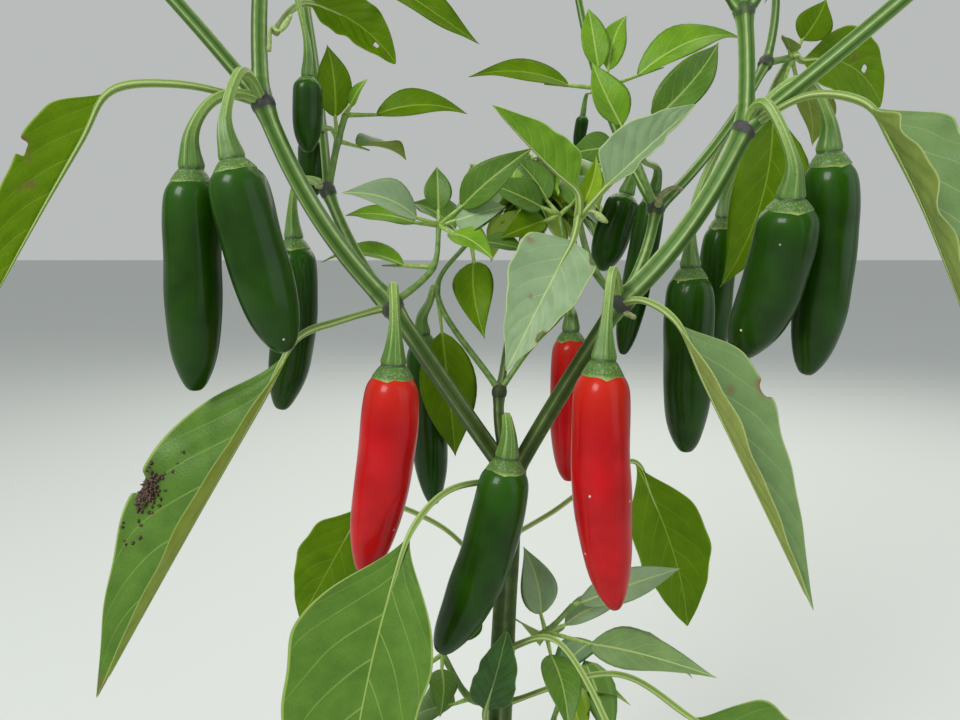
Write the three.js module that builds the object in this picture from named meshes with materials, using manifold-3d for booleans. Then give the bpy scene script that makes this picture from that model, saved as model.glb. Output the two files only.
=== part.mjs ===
// Chilli pepper plant: a forking stem with its boughs, ripe and green fruit, large single leaves
// and masses of twigs and leaves. Millimetres, +Z up, origin at the flat cut under the main stem.
import * as THREE from 'three';
import Module from 'manifold-3d';

const wasm = await Module();
wasm.setup();

// Driving sizes
const FORK_HEIGHT = 300;          // ground to the first fork of the stem
const STEM_FOOT_RADIUS = 8.6;     // root flare at the ground
const STEM_RADIUS = 6.2;          // above the flare
const STEM_TOP_RADIUS = 4.7;      // under the first fork
const FLARE_HEIGHT = 26;
const STEM_BOW = -3;              // sideways, at the stem's middle
const STEM_STEPS = 12;
const LIMB_STEP = 18;             // length of a limb's straight stretches
const STEM_SIDES = 8;
const LIMB_SIDES = 6;
const TWIG_SIDES = 3;
const FRUIT_SIDES = 8;
const SMALL_FRUIT_SIDES = 6;      // of fruit fused to twigs
const PEDICEL_RADIUS = 1.9;       // stalk of a full-grown fruit
const FULL_FRUIT_RADIUS = 9;      // fruit thinner than this have a thinner stalk
const YOUNG_FRUIT_RADIUS = 6;     // in the seeded masses
const PETIOLE_RADIUS = 1.3;       // stalk of a large leaf
const LEAFSTALK_RADIUS = 0.95;    // stalk of a leaf on a twig
const GAP = 0.36;                 // left between two pieces that meet
const BLADE_THICKNESS = 0.014;    // of a leaf's length, never under the least thickness
const BLADE_LEAST = 0.8;
const LEAF_FOLD = 0.22;           // rise of a blade's edges over its midrib, of its half width
const LEAF_ARCH = 0.09;           // height of a blade's arch, of its length
const STALK_SHARE = 0.24;         // of a placed leaf's length from its twig
const KEEP_CLEAR = 2.2;           // between a seeded twig or leaf and anything else

const COLOURS = {
  stem: 0x5f7d3a,
  leaf: 0x4a7a2a,
  green: 0x1d4a17,
  red: 0xc4161a,
};
const ROUGHNESS = {
  stem: 0.6,
  leaf: 0.6,
  green: 0.2,
  red: 0.2,
};

// Forks of the plant. Each lies at an offset from the fork it grows out of.
const FORKS = { ground: new THREE.Vector3(0, 0, 0) };
for (const [name, from, x, y, z] of [
  ['main', 'ground', 5, 0, FORK_HEIGHT],
  ['left', 'main', -46, -12, 71],
  ['right', 'main', 39, -12, 72],
  ['centre', 'main', -5, 10, 34],
  ['left_top', 'left', -44, -2, 72],
  ['left_thin', 'left', -26, 18, 43],
  ['right_top', 'right', 42, -2, 62],
  ['right_thin', 'right', 17, 20, 35],
  ['left_up', 'left_top', 9, 8, 89],
  ['left_far', 'left_top', -75, -42, 84],
  ['left_rear', 'left_thin', -20, 56, 94],
  ['right_up', 'right_top', -1, 4, 41],
  ['right_up_in', 'right_up', -25, 8, 56],
  ['right_up_out', 'right_up', 29, 4, 60],
  ['right_far', 'right_top', 88, -36, 82],
  ['right_rear', 'right_thin', 48, 22, 60],
  ['right_back', 'right_rear', 16, 44, 58],
  ['centre_rear', 'right_thin', -26, 66, 112],
  ['heart', 'centre', 10, 50, 50],
]) FORKS[name] = FORKS[from].clone().add(new THREE.Vector3(x, y, z));

// Limbs: name, from, to, radius at each end, and how far the middle bows off the straight line
const LIMBS = [
  ['left_bough', 'main', 'left', 3.5, 3.2, [3, 0, -5]],
  ['right_bough', 'main', 'right', 3.4, 3.2, [-4, 0, -5]],
  ['centre_bough', 'main', 'centre', 2.4, 2.1, [-2, 2, 0]],
  ['left_limb', 'left', 'left_top', 3.5, 3.2, [-4, 0, -3]],
  ['left_thin_limb', 'left', 'left_thin', 2.4, 2.1, [-2, 4, -2]],
  ['left_upright', 'left_top', 'left_up', 2.9, 2.3, [-4, 0, 0]],
  ['left_leader', 'left_top', 'left_far', 2.5, 2.0, [2, 0, 2]],
  ['left_rear_limb', 'left_thin', 'left_rear', 1.9, 1.7, [0, 6, 0]],
  ['right_limb', 'right', 'right_top', 3.8, 3.4, [3, 0, -3]],
  ['right_thin_limb', 'right', 'right_thin', 2.2, 2.0, [2, 2, -3]],
  ['right_upright', 'right_top', 'right_up', 2.9, 2.7, [1, 0, 0]],
  ['right_inner_leader', 'right_up', 'right_up_in', 2.2, 1.9, [-4, 0, -3]],
  ['right_outer_leader', 'right_up', 'right_up_out', 2.2, 1.9, [4, 0, -3]],
  ['right_leader', 'right_top', 'right_far', 2.9, 2.3, [0, 0, -2]],
  ['right_rear_limb', 'right_thin', 'right_rear', 2.0, 1.8, [3, 2, -2]],
  ['right_back_limb', 'right_rear', 'right_back', 1.8, 1.6, [3, 0, 0]],
  ['centre_rear_limb', 'right_thin', 'centre_rear', 1.9, 1.6, [-3, 6, -4]],
  ['heart_limb', 'centre', 'heart', 1.7, 1.5, [0, 3, -4]],
];

// Fruit with a node each: name, fork, top of the stalk's arch, calyx, tip, radius, sideways bend, colour
const FRUIT = [
  ['chilli_red_left', 'left', [-39, -21, 379], [-39, -26, 351], [-50, -30, 277], 10.4, 2, 'red'],
  ['chilli_red_right', 'right', [39, -23, 385], [36, -27, 353], [42, -33, 260], 10.6, -3, 'red'],
  ['chilli_green_front', 'main', [2, -14, 330], [2, -20, 315], [-24, -27, 240], 10.2, 5, 'green'],
  ['chilli_left_outer', 'left_top', [-97, -32, 440], [-104, -36, 418], [-108, -37, 343], 9.6, 0, 'green'],
  ['chilli_left_inner', 'left_top', [-86, -34, 449], [-86, -46, 420], [-71, -47, 358], 9.7, -1, 'green'],
  ['chilli_left_small', 'left_up', [-75, -6, 490], [-71, -4, 454], [-72, -4, 427], 5.4, 0, 'green'],
  ['chilli_left_rear', 'left_thin', [-83, 22, 418], [-87, 30, 396], [-95, 26, 322], 9.4, 3, 'green'],
  ['chilli_right_inner', 'right_rear', [84, 34, 412], [83, 34, 384], [84, 32, 301], 10.6, 0, 'green'],
  ['chilli_right_front', 'right_top', [88, -27, 441], [97, -31, 409], [86, -18, 352], 10.6, 4, 'green'],
  ['chilli_right_outer', 'right_top', [103, -20, 450], [116, -16, 426], [115, -12, 344], 10.0, 3, 'green'],
];

// Large leaves with a node each: name, fork or height on the stem, a point on the stalk's arch, blade's
// foot, blade's tip, width, the way the blade faces, fold, arch
const LARGE_LEAVES = [
  ['leaf_left_low', 'left', [-61, -25, 361], [-87, -34, 348], [-143, -52, 238],
    34, [-0.4, -1, 0.3], 0.3, 0.03],
  ['leaf_left_high', 'left_top', [-110, -30, 447], [-129, -38, 440], [-166, -56, 366],
    42, [-0.2, -1, 0.2], 0.3, 0.03],
  ['leaf_front_left', 'main', [-20, -26, 304], [-35, -44, 293], [-54, -68, 188],
    50, [0, -1, 0.6], 0.12, 0.06],
  ['leaf_left_oval', 262, [-26, 30, 268], [-62, 44, 274], [-95, 44, 214],
    32, [0, -1, 0.3], 0.12, 0.06],
  ['leaf_right_low', 'right', [52, -24, 374], [59, -35, 368], [110, -46, 268],
    30, [0.5, -1, 0.4], 0.3, 0.07],
  ['leaf_right_back', 270, [24, 30, 274], [64, 44, 294], [93, 46, 210],
    35, [0, -1, 0.3], 0.12, 0.06],
  ['leaf_right_high', 'right_top', [101, -28, 443], [116, -38, 437], [152, -62, 366],
    42, [0.3, -1, 0.3], 0.3, 0.03],
  ['leaf_foot_right', 228, [26, -22, 231], [42, -42, 212], [58, -62, 138],
    44, [0.2, -1, 0.6], 0.12, 0.06],
  ['leaf_foot_far', 206, [42, -12, 214], [74, -20, 214], [134, -40, 172],
    42, [0.3, -0.6, 1], 0.15, 0.08],
];

// Masses of twigs and leaves placed one by one. Stem: its points on from the fork or stem height.
// Leaf: point of the stem it grows from, tip, width, turn of its face (0 front, 90 up), and where they
// differ from the usual, its arch and its stalk's share of the length.
// Fruit: point of the stem, calyx, tip, radius.
const SPRAYS = [
  { name: 'spray_left_inner', from: 'left', stem: [[-26, 0, 385], [-24, 6, 401]], radius: 1.5,
    leaves: [[1, -58, -14, 412, 15, 30], [1, -62, 13, 405, 12, 50], [1, -25, 12, 424, 11, 20],
      [0, -76, 30, 386, 12, 60], [1, 12, -6, 429, 14, 20], [1, 2, 0, 408, 16, 30],
      [1, -3, -15, 388, 13, 50]],
    fruit: [] },
  { name: 'spray_centre_left', from: 'centre', stem: [[-26, 24, 375], [-12, 31, 396]], radius: 1.5,
    leaves: [[1, -6, 6, 356, 17, 0], [1, 12, 24, 391, 12, 50], [0, -19, 31, 300, 24, 10],
      [1, -40, 48, 412, 18, 60], [1, 2, 58, 420, 18, 90]],
    fruit: [[0, [-33, 32, 355], [-29, 34, 276], 8.2]] },
  { name: 'spray_centre_right', from: 'centre',
    stem: [[13, 14, 352], [29, 20, 370], [26, 34, 406]], radius: 1.3,
    leaves: [[2, -6, 26, 419, 16, 30], [2, 0, 25, 396, 13, 30], [2, 6, 52, 432, 16, 60],
      [2, 48, 60, 424, 20, 90]],
    fruit: [[1, [33, 43, 355], [33, 40, 285], 9]] },
  { name: 'spray_right_heart', from: 'right', stem: [[34, -10, 385], [29, -4, 403]], radius: 1.5,
    leaves: [[1, 1, -34, 343, 34, 20, 0.05, 0.12], [1, -4, -27, 440, 16, 30], [1, 69, -12, 443, 21, 20],
      [1, 35, -5, 426, 8, 0]],
    fruit: [] },
  { name: 'spray_right_inner', from: 'right_thin', stem: [[52, 16, 432], [42, 30, 457]], radius: 1.5,
    leaves: [[1, 37, 39, 491, 12, 0], [1, 54, 42, 489, 11, 10], [1, -13, 28, 461, 14, 40],
      [0, 38, 22, 449, 15, 20], [0, 88, 26, 474, 17, 30], [0, 26, 10, 428, 14, 20]],
    fruit: [[0, [68, 42, 416], [56, 40, 344], 6.4], [0, [61, 68, 417], [49, 66, 381], 8.6],
      [1, [39, 62, 452], [37, 66, 437], 3]] },
  { name: 'spray_right_rear', from: 'right_rear', stem: [[121, 34, 470]], radius: 1.4,
    leaves: [[0, 165, 44, 453, 32, 15, 0.09, 0.1], [0, 111, 18, 474, 15, 10], [0, 128, 60, 388, 30, 0],
      [0, 150, 74, 440, 26, 60]],
    fruit: [[0, [106, 64, 406], [100, 63, 320], 8.6]] },
  { name: 'spray_left_middle', from: 'left_thin', stem: [[-64, 14, 434], [-61, 15, 444]], radius: 1.5,
    leaves: [[0, -68, 18, 471, 14, 0], [1, -13, 25, 446, 13, 30, 0.16], [1, -51, 8, 456, 7, 40],
      [0, -40, 44, 430, 16, 70]],
    fruit: [[0, [-78, 28, 437], [-78, 28, 413], 5.4]] },
  { name: 'spray_left_upper', from: 'left_up', stem: [[-66, 2, 504], [-62, 8, 496]], radius: 1.4,
    leaves: [[1, -39, 17, 462, 18, 20], [0, -8, 22, 472, 16, 30], [0, -44, -20, 520, 20, 70]],
    fruit: [] },
  { name: 'spray_foot_left', from: 205, stem: [[-12, -3, 205], [-24, 2, 222]], radius: 1.7,
    leaves: [[0, 3, -15, 242, 19, 0], [1, -24, -20, 208, 12, 30], [1, -8, 26, 236, 16, 0],
      [1, -70, -22, 200, 22, 60], [0, -40, 30, 172, 22, 60]],
    fruit: [] },
  { name: 'spray_foot_right', from: 222, stem: [[20, 6, 230], [32, 10, 240]], radius: 1.7,
    leaves: [[0, 77, -46, 240, 18, 50], [1, 23, 18, 266, 15, 10], [0, 56, 24, 233, 12, 60],
      [1, 84, 29, 246, 20, 40], [0, 26, -30, 208, 16, 60], [0, 22, 52, 196, 24, 60]],
    fruit: [] },
];

// Seeded masses: fork or stem height, first shoot's direction, middle and half sizes of the space,
// first shoot's length, leaf length and width, rounds of forking, fruit by chance, seed
const MASSES = [
  { name: 'mass_left_top', from: 'left_up', direction: [0.1, 0.2, 1], middle: [-78, 2, 590],
    space: [62, 62, 66], shoot: 32, leaf: 60, width: 28, rounds: 2, fruit: 0.2, seed: 11 },
  { name: 'mass_left_far', from: 'left_far', direction: [-0.6, -0.3, 0.8], middle: [-176, -66, 560],
    space: [62, 60, 62], shoot: 30, leaf: 62, width: 29, rounds: 2, fruit: 0.2, seed: 22 },
  { name: 'mass_left_rear', from: 'left_rear', direction: [-0.6, 0.5, 0.8], middle: [-120, 104, 560],
    space: [66, 64, 62], shoot: 32, leaf: 62, width: 29, rounds: 2, fruit: 0.2, seed: 33 },
  { name: 'mass_right_top_inner', from: 'right_up_in', direction: [-0.4, 0.1, 1], middle: [38, -14, 588],
    space: [56, 62, 62], shoot: 30, leaf: 60, width: 28, rounds: 2, fruit: 0.2, seed: 44 },
  { name: 'mass_right_top_outer', from: 'right_up_out', direction: [0.3, 0.1, 1], middle: [128, 2, 596],
    space: [56, 60, 62], shoot: 30, leaf: 60, width: 28, rounds: 2, fruit: 0.2, seed: 55 },
  { name: 'mass_right_far', from: 'right_far', direction: [0.6, -0.3, 0.8], middle: [188, -66, 556],
    space: [60, 60, 62], shoot: 30, leaf: 62, width: 29, rounds: 2, fruit: 0.2, seed: 66 },
  { name: 'mass_right_back', from: 'right_back', direction: [0.5, 0.5, 0.7], middle: [158, 112, 552],
    space: [64, 64, 62], shoot: 32, leaf: 62, width: 29, rounds: 2, fruit: 0.2, seed: 77 },
  { name: 'mass_centre_rear', from: 'centre_rear', direction: [-0.2, 0.5, 0.9], middle: [20, 110, 572],
    space: [72, 60, 64], shoot: 32, leaf: 60, width: 28, rounds: 2, fruit: 0.2, seed: 88 },
  { name: 'mass_heart', from: 'heart', direction: [0.2, 0.6, 0.8], middle: [26, 104, 424],
    space: [62, 50, 48], shoot: 24, leaf: 52, width: 24, rounds: 2, fruit: 0.2, seed: 121 },
  { name: 'mass_foot_left', from: 128, direction: [-0.9, 0.2, 0.7], middle: [-70, 24, 150],
    space: [64, 52, 40], shoot: 26, leaf: 54, width: 26, rounds: 2, fruit: 0, seed: 99 },
  { name: 'mass_foot_right', from: 150, direction: [0.7, 0.7, 0.6], middle: [66, 60, 172],
    space: [60, 52, 40], shoot: 44, leaf: 54, width: 26, rounds: 2, fruit: 0, seed: 110 },
];

const vec = ([x, y, z]) => new THREE.Vector3(x, y, z);

// The bent line from a to b whose middle lies off the straight line by the bow.
function bentLine(a, b, bow, steps) {
  const control = a.clone().add(b).multiplyScalar(0.5).addScaledVector(bow, 2);
  return new THREE.QuadraticBezierCurve3(a, control, b).getPoints(steps);
}

// The bent line from a to b through a given point at its middle.
function lineThrough(a, middle, b, steps) {
  return bentLine(a, b, middle.clone().sub(a.clone().add(b).multiplyScalar(0.5)), steps);
}

function anySideways(direction) {
  const reference = Math.abs(direction.z) < 0.9 ? new THREE.Vector3(0, 0, 1) : new THREE.Vector3(1, 0, 0);
  return reference.cross(direction).normalize();
}

// Unit directions along a line of points.
function directions(points) {
  return points.map((point, i) => points[Math.min(i + 1, points.length - 1)].clone()
    .sub(points[Math.max(i - 1, 0)]).normalize());
}

// A closed skin over rings of equal count. An end is a ring's flat cap, or runs to an apex point.
function skin(rings, startApex, endApex) {
  const count = rings[0].length;
  const vertices = rings.flat();
  const faces = [];
  for (let ring = 0; ring < rings.length - 1; ring += 1) {
    for (let side = 0; side < count; side += 1) {
      const next = (side + 1) % count;
      const a = ring * count + side;
      const b = ring * count + next;
      faces.push(a, b, b + count, a, b + count, a + count);
    }
  }
  const last = (rings.length - 1) * count;
  const start = startApex ? vertices.push(startApex) - 1 : 0;
  const end = endApex ? vertices.push(endApex) - 1 : last;
  for (let side = 0; side < count; side += 1) {
    const next = (side + 1) % count;
    if (startApex || (side > 0 && next > 0)) faces.push(start, next, side);
    if (endApex || (side > 0 && next > 0)) faces.push(end, last + side, last + next);
  }
  return asSolid(vertices, faces);
}

function asSolid(vertices, faces) {
  let volume = 0;
  for (let i = 0; i < faces.length; i += 3) {
    const [a, b, c] = [vertices[faces[i]], vertices[faces[i + 1]], vertices[faces[i + 2]]];
    volume += a.dot(b.clone().cross(c));
  }
  if (volume < 0) faces.reverse();
  return new wasm.Manifold(new wasm.Mesh({
    numProp: 3,
    vertProperties: new Float32Array(vertices.flatMap((p) => [p.x, p.y, p.z])),
    triVerts: new Uint32Array(faces),
  }));
}

// A round limb along a line of points with a radius at each. A last radius of 0 is a pointed end. The
// first cut is square to the line, or to the direction that is given for it.
function sweep(points, radii, sides, firstAlong) {
  const along = directions(points);
  if (firstAlong) along[0] = firstAlong;
  const pointed = radii[radii.length - 1] === 0;
  const ringCount = pointed ? points.length - 1 : points.length;
  let sideways = anySideways(along[0]);
  const rings = [];
  for (let i = 0; i < ringCount; i += 1) {
    sideways = sideways.clone().addScaledVector(along[i], -sideways.dot(along[i])).normalize();
    const across = along[i].clone().cross(sideways);
    rings.push(Array.from({ length: sides }, (_, k) => {
      const angle = (2 * Math.PI * k) / sides;
      return points[i].clone().addScaledVector(sideways, Math.cos(angle) * radii[i])
        .addScaledVector(across, Math.sin(angle) * radii[i]);
    }));
  }
  return skin(rings, undefined, pointed ? points[points.length - 1] : undefined);
}

// A pointed oval: round at its foot by one power, drawn out to its tip by the other.
const FOOT_POWER = 0.6;
const TIP_POWER = 1.1;
const pointedOval = (share) => share ** FOOT_POWER * (1 - share) ** TIP_POWER;
const OVAL_PEAK = pointedOval(FOOT_POWER / (FOOT_POWER + TIP_POWER));

// Half width of a blade at a share of its length, as a share of its greatest half width.
function bladeOutline(share) {
  return pointedOval(share) / OVAL_PEAK;
}

// The frame of a blade: the way across it and the way it faces.
function bladeFrame(foot, tip, facing) {
  const along = tip.clone().sub(foot).normalize();
  const across = along.clone().cross(facing).normalize();
  return { along, across, face: across.clone().cross(along).normalize() };
}

// A leafstalk's radius at its foot and along it, as shares of the stated one
const STALK_FOOT_SWELL = 1.25;
const STALK_TAPER = 0.9;
const PETIOLE_STEPS = 5;
const LARGE_LEAF_STATIONS = 5;
const TWIG_LEAF_STATIONS = 2;

// A leaf as one closed skin: a four-sided stalk that widens into a lens-shaped blade with a folded
// midrib, cut at a number of stations, and ends in a point.
function leafOnStalk(stalkLine, leaf, stations, stalkRadius) {
  const { foot, tip, width, facing, fold, arch } = leaf;
  const length = foot.distanceTo(tip);
  const { across, face } = bladeFrame(foot, tip, facing);
  const line = bentLine(foot, tip, face.clone().multiplyScalar(arch * length), stations + 1);
  const along = directions(line);
  const thickness = Math.max(BLADE_THICKNESS * length, BLADE_LEAST);
  const rings = [];
  for (let i = 1; i <= stations; i += 1) {
    const half = (width / 2) * bladeOutline(i / (stations + 1));
    const up = across.clone().cross(along[i]).normalize();
    rings.push(diamond(line[i], across, up, half, thickness / 2, fold * half));
  }
  const stalkAlong = directions([...stalkLine, line[1]]);
  let sideways = across;
  for (let i = stalkLine.length - 1; i >= 0; i -= 1) {
    sideways = sideways.clone().addScaledVector(stalkAlong[i], -sideways.dot(stalkAlong[i])).normalize();
    const up = sideways.clone().cross(stalkAlong[i]).normalize();
    const radius = stalkRadius * (i === 0 ? STALK_FOOT_SWELL : STALK_TAPER);
    rings.unshift(diamond(stalkLine[i], sideways, up, radius, radius, 0));
  }
  return skin(rings, undefined, line[line.length - 1]);
}

// Four corners about a point: both edges, raised by a fold, and the upper and lower side.
function diamond(middle, across, up, half, rise, fold) {
  return [
    middle.clone().addScaledVector(across, half).addScaledVector(up, fold),
    middle.clone().addScaledVector(up, rise),
    middle.clone().addScaledVector(across, -half).addScaledVector(up, fold),
    middle.clone().addScaledVector(up, -rise),
  ];
}

// Rings of a fruit: share of its length from the calyx, and share of its radius
const CALYX_RINGS = [[0, 0.40], [0.035, 0.66], [0.085, 0.78], [0.12, 0.90]];
const BODY_RINGS = [[0.22, 1], [0.5, 0.97], [0.74, 0.84], [0.93, 0.5], [1, 0]];
const SMALL_FRUIT_RINGS = [[0, 0.55], [0.14, 0.92], [0.5, 1], [0.85, 0.66], [1, 0]];
const PEDICEL_STEPS = 4;
const SMALL_PEDICEL_STEPS = 3;
const PEDICEL_END_SWELL = 1.15;

// A fruit on its stalk, as one line of rings: arched stalk, calyx, shoulder, long body, blunt tip.
function fruitOnStalk(from, top, calyx, tip, radius, bend, small = false) {
  const steps = small ? SMALL_PEDICEL_STEPS : PEDICEL_STEPS;
  const stalk = lineThrough(from, top, calyx, steps).slice(0, -1);
  const stalkRadius = PEDICEL_RADIUS * Math.min(1, radius / FULL_FRUIT_RADIUS);
  const bow = tip.clone().sub(calyx).cross(new THREE.Vector3(0, 1, 0)).normalize().multiplyScalar(bend);
  const curve = new THREE.QuadraticBezierCurve3(calyx,
    calyx.clone().add(tip).multiplyScalar(0.5).addScaledVector(bow, 2), tip);
  const profile = small ? SMALL_FRUIT_RINGS : [...CALYX_RINGS, ...BODY_RINGS];
  const sides = small ? SMALL_FRUIT_SIDES : FRUIT_SIDES;
  const points = [...stalk, ...profile.map(([share]) => curve.getPoint(share))];
  const radii = [...stalk.map((_, i) => stalkRadius * (i === stalk.length - 1 ? PEDICEL_END_SWELL : 1)),
    ...profile.map(([, share]) => share * radius)];
  return {
    solid: sweep(points, radii, sides),
    guard: sweep(stalk, stalk.map(() => stalkRadius + GAP), sides),
  };
}

// Where a piece starts: a named fork, or the stem's middle at a height.
function startPoint(from) {
  if (typeof from === 'string') return FORKS[from];
  return stemLine.reduce((near, p) => (Math.abs(p.z - from) < Math.abs(near.z - from) ? p : near));
}

// Repeatable numbers from 0 to 1.
function seededNumbers(seed) {
  let state = seed >>> 0;
  return () => {
    state = (state + 0x6d2b79f5) >>> 0;
    let t = state;
    t = Math.imul(t ^ (t >>> 15), t | 1);
    t ^= t + Math.imul(t ^ (t >>> 7), t | 61);
    return ((t ^ (t >>> 14)) >>> 0) / 4294967296;
  };
}

const group = new THREE.Group();
const guards = [];

// The largest of the bodies that a cut leaves.
function largestPart(solid) {
  return solid.decompose().reduce((best, part) => (part.volume() > best.volume() ? part : best));
}

function boxesMeet(a, b) {
  return [0, 1, 2].every((axis) => a.min[axis] < b.max[axis] && b.min[axis] < a.max[axis]);
}

// Adds one piece to the plant, cut clear of the limbs and stalks that it springs from.
function addPiece(name, solid, guard, colour) {
  let piece = solid;
  for (const other of guards) {
    if (boxesMeet(piece.boundingBox(), other.boundingBox())) piece = piece.subtract(other);
  }
  piece = largestPart(piece);
  if (guard) guards.push(guard);
  const { vertProperties, triVerts } = piece.getMesh();
  const geometry = new THREE.BufferGeometry();
  geometry.setAttribute('position', new THREE.BufferAttribute(new Float32Array(vertProperties), 3));
  geometry.setIndex(new THREE.BufferAttribute(new Uint32Array(triVerts), 1));
  const finish = { color: COLOURS[colour], roughness: ROUGHNESS[colour], metalness: 0 };
  const mesh = new THREE.Mesh(geometry, new THREE.MeshStandardMaterial(finish));
  mesh.name = name;
  group.add(mesh);
}

// What seeded twigs and leaves keep clear of: straight stretches with a radius.
const obstacles = [];

function clearOfObstacles(point, clearance) {
  const nearest = new THREE.Vector3();
  return obstacles.every(({ line, radius }) => {
    line.closestPointToPoint(point, true, nearest);
    return nearest.distanceTo(point) > radius + clearance;
  });
}

function addObstacle(a, b, radius) {
  obstacles.push({ line: new THREE.Line3(a, b), radius });
}

// How much deeper a point lies in its own mass's space than in any other
const SPACE_MARGIN = 0.06;

// How deep a point lies in a mass's space: 0 at its middle, 1 at its edge.
function depthIn(mass, point) {
  const offset = point.clone().sub(vec(mass.middle)).divide(vec(mass.space));
  return offset.length();
}

function inOwnSpace(mass, point) {
  const own = depthIn(mass, point);
  return own < 1 && MASSES.every((other) => other === mass || depthIn(other, point) > own + SPACE_MARGIN);
}

function fits(mass, point, clearance) {
  return point.z > KEEP_CLEAR && inOwnSpace(mass, point) && clearOfObstacles(point, clearance);
}

// Limbs
const stemLine = bentLine(FORKS.ground, FORKS.main, new THREE.Vector3(STEM_BOW, 0, 0), STEM_STEPS);
const stemRadii = stemLine.map((p) => {
  const taper = STEM_RADIUS + (STEM_TOP_RADIUS - STEM_RADIUS) * (p.z / FORK_HEIGHT);
  return taper + (STEM_FOOT_RADIUS - STEM_RADIUS) * Math.max(0, 1 - p.z / FLARE_HEIGHT) ** 2;
});

function addLimb(name, points, radii, sides, firstAlong) {
  const guardRadii = radii.map((radius) => radius + GAP);
  addPiece(name, sweep(points, radii, sides, firstAlong), sweep(points, guardRadii, sides), 'stem');
  for (let i = 1; i < points.length; i += 1) addObstacle(points[i - 1], points[i], radii[i - 1]);
}

const STRAIGHT_UP = new THREE.Vector3(0, 0, 1);
addLimb('main_stem', stemLine, stemRadii, STEM_SIDES, STRAIGHT_UP);

for (const [name, from, to, startRadius, endRadius, bow] of LIMBS) {
  const length = FORKS[from].distanceTo(FORKS[to]);
  const steps = Math.max(3, Math.round(length / LIMB_STEP));
  const line = bentLine(FORKS[from], FORKS[to], vec(bow), steps);
  addLimb(name, line, line.map((_, i) => startRadius + (endRadius - startRadius) * (i / steps)), LIMB_SIDES);
}

// Fruit
for (const [name, from, top, calyx, tip, radius, bend, colour] of FRUIT) {
  const { solid, guard } = fruitOnStalk(startPoint(from), vec(top), vec(calyx), vec(tip), radius, bend);
  addPiece(name, solid, guard, colour);
  addObstacle(vec(calyx), vec(tip), radius);
}

// Large leaves
for (const [name, from, over, foot, tip, width, facing, fold, arch] of LARGE_LEAVES) {
  const leaf = { foot: vec(foot), tip: vec(tip), width, facing: vec(facing), fold, arch };
  const stalk = lineThrough(startPoint(from), vec(over), leaf.foot, PETIOLE_STEPS);
  const guardLine = stalk.slice(0, 3);
  const guard = sweep(guardLine, guardLine.map(() => PETIOLE_RADIUS * STALK_FOOT_SWELL + GAP), 4);
  addPiece(name, leafOnStalk(stalk, leaf, LARGE_LEAF_STATIONS, PETIOLE_RADIUS), guard, 'leaf');
  addObstacle(leaf.foot, leaf.tip, width / 2);
}

// Placed leaves face a little to the right
const FACE_ASIDE = 0.05;

// A leaf that faces between the front and straight up, on a short stalk from a point of a twig
function placedLeaf(node, tip, width, turn, arch = LEAF_ARCH, stalkShare = STALK_SHARE) {
  const angle = THREE.MathUtils.degToRad(turn);
  const facing = new THREE.Vector3(FACE_ASIDE, -Math.cos(angle), Math.sin(angle));
  return { foot: node.clone().lerp(tip, stalkShare), tip, width, facing, fold: LEAF_FOLD, arch };
}

// Placed masses: each stretch of the twig is thinner by the taper, and a fruit's stalk rises by the lift
const SPRAY_TAPER = 0.12;
const PEDICEL_LIFT = 4;
for (const { name, from, stem, radius, leaves, fruit } of SPRAYS) {
  const points = [startPoint(from), ...stem.map(vec)];
  const radii = points.map((_, i) => radius * (1 - SPRAY_TAPER * i));
  let solid = sweep(points, radii, TWIG_SIDES);
  for (const [node, x, y, z, ...shape] of leaves) {
    const start = points[node + 1];
    const leaf = placedLeaf(start, new THREE.Vector3(x, y, z), ...shape);
    solid = solid.add(leafOnStalk([start, leaf.foot], leaf, TWIG_LEAF_STATIONS, LEAFSTALK_RADIUS));
    addObstacle(leaf.foot, leaf.tip, leaf.width / 2);
  }
  for (const [node, calyx, tip, fruitRadius] of fruit) {
    const start = points[node + 1];
    const top = start.clone().lerp(vec(calyx), 0.5).add(new THREE.Vector3(0, 0, PEDICEL_LIFT));
    solid = solid.add(fruitOnStalk(start, top, vec(calyx), vec(tip), fruitRadius, 0, true).solid);
    addObstacle(vec(calyx), vec(tip), fruitRadius);
  }
  const guard = sweep(points.slice(0, 2), radii.slice(0, 2).map((r) => r + GAP), TWIG_SIDES);
  addPiece(name, solid, guard, 'leaf');
  for (let i = 1; i < points.length; i += 1) addObstacle(points[i - 1], points[i], radius);
}

// Seeded masses: each shoot ends in a fork with leaves, and sends out two more shoots. Angles are in
// radians, and a spread is the width of a chance range about its middle.
const FORK_ANGLE = 0.62;
const SHOOT_SHORTENS = 0.84;      // from one round of forking to the next
const SHOOT_RADIUS = 1.5;
const SHOOT_THINS = 0.82;
const SHOOT_TAPER = 0.85;         // of a shoot's radius at its end
const UPWARD_PULL = 0.18;
const TURN_SPREAD = 0.8;          // of the leaves and the next fork about the shoot
const LEAVES_AT_NODE = [2, 1, 2]; // by round
const LEAF_SPREAD = 2.1;          // from one leaf of a node to the next
const LEAF_SHORTENS = 0.1;        // share lost by round
const LEAF_LENGTH_SPREAD = 0.3;
const LEAF_DROOP = 0.75;
const DROOP_LESSENS = 0.2;        // by round
const DROOP_SPREAD = 0.5;
const STALK_OUT = 0.2;            // a seeded leaf's foot from its node, of its length
const STALK_UP = 0.1;
const FACE_OUT = 0.3;             // lean of its face away from the node
const LEAF_CLEAR = 2 * KEEP_CLEAR;
const CALYX_OFFSET = new THREE.Vector3(4, 3, -16);     // from the node
const FRUIT_OFFSET = new THREE.Vector3(1, 1, -34);     // from calyx to tip
const PEDICEL_OFFSET = new THREE.Vector3(2, 2, 3);     // the stalk's arch off the straight line
const FRUIT_CLEAR = 8;

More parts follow.
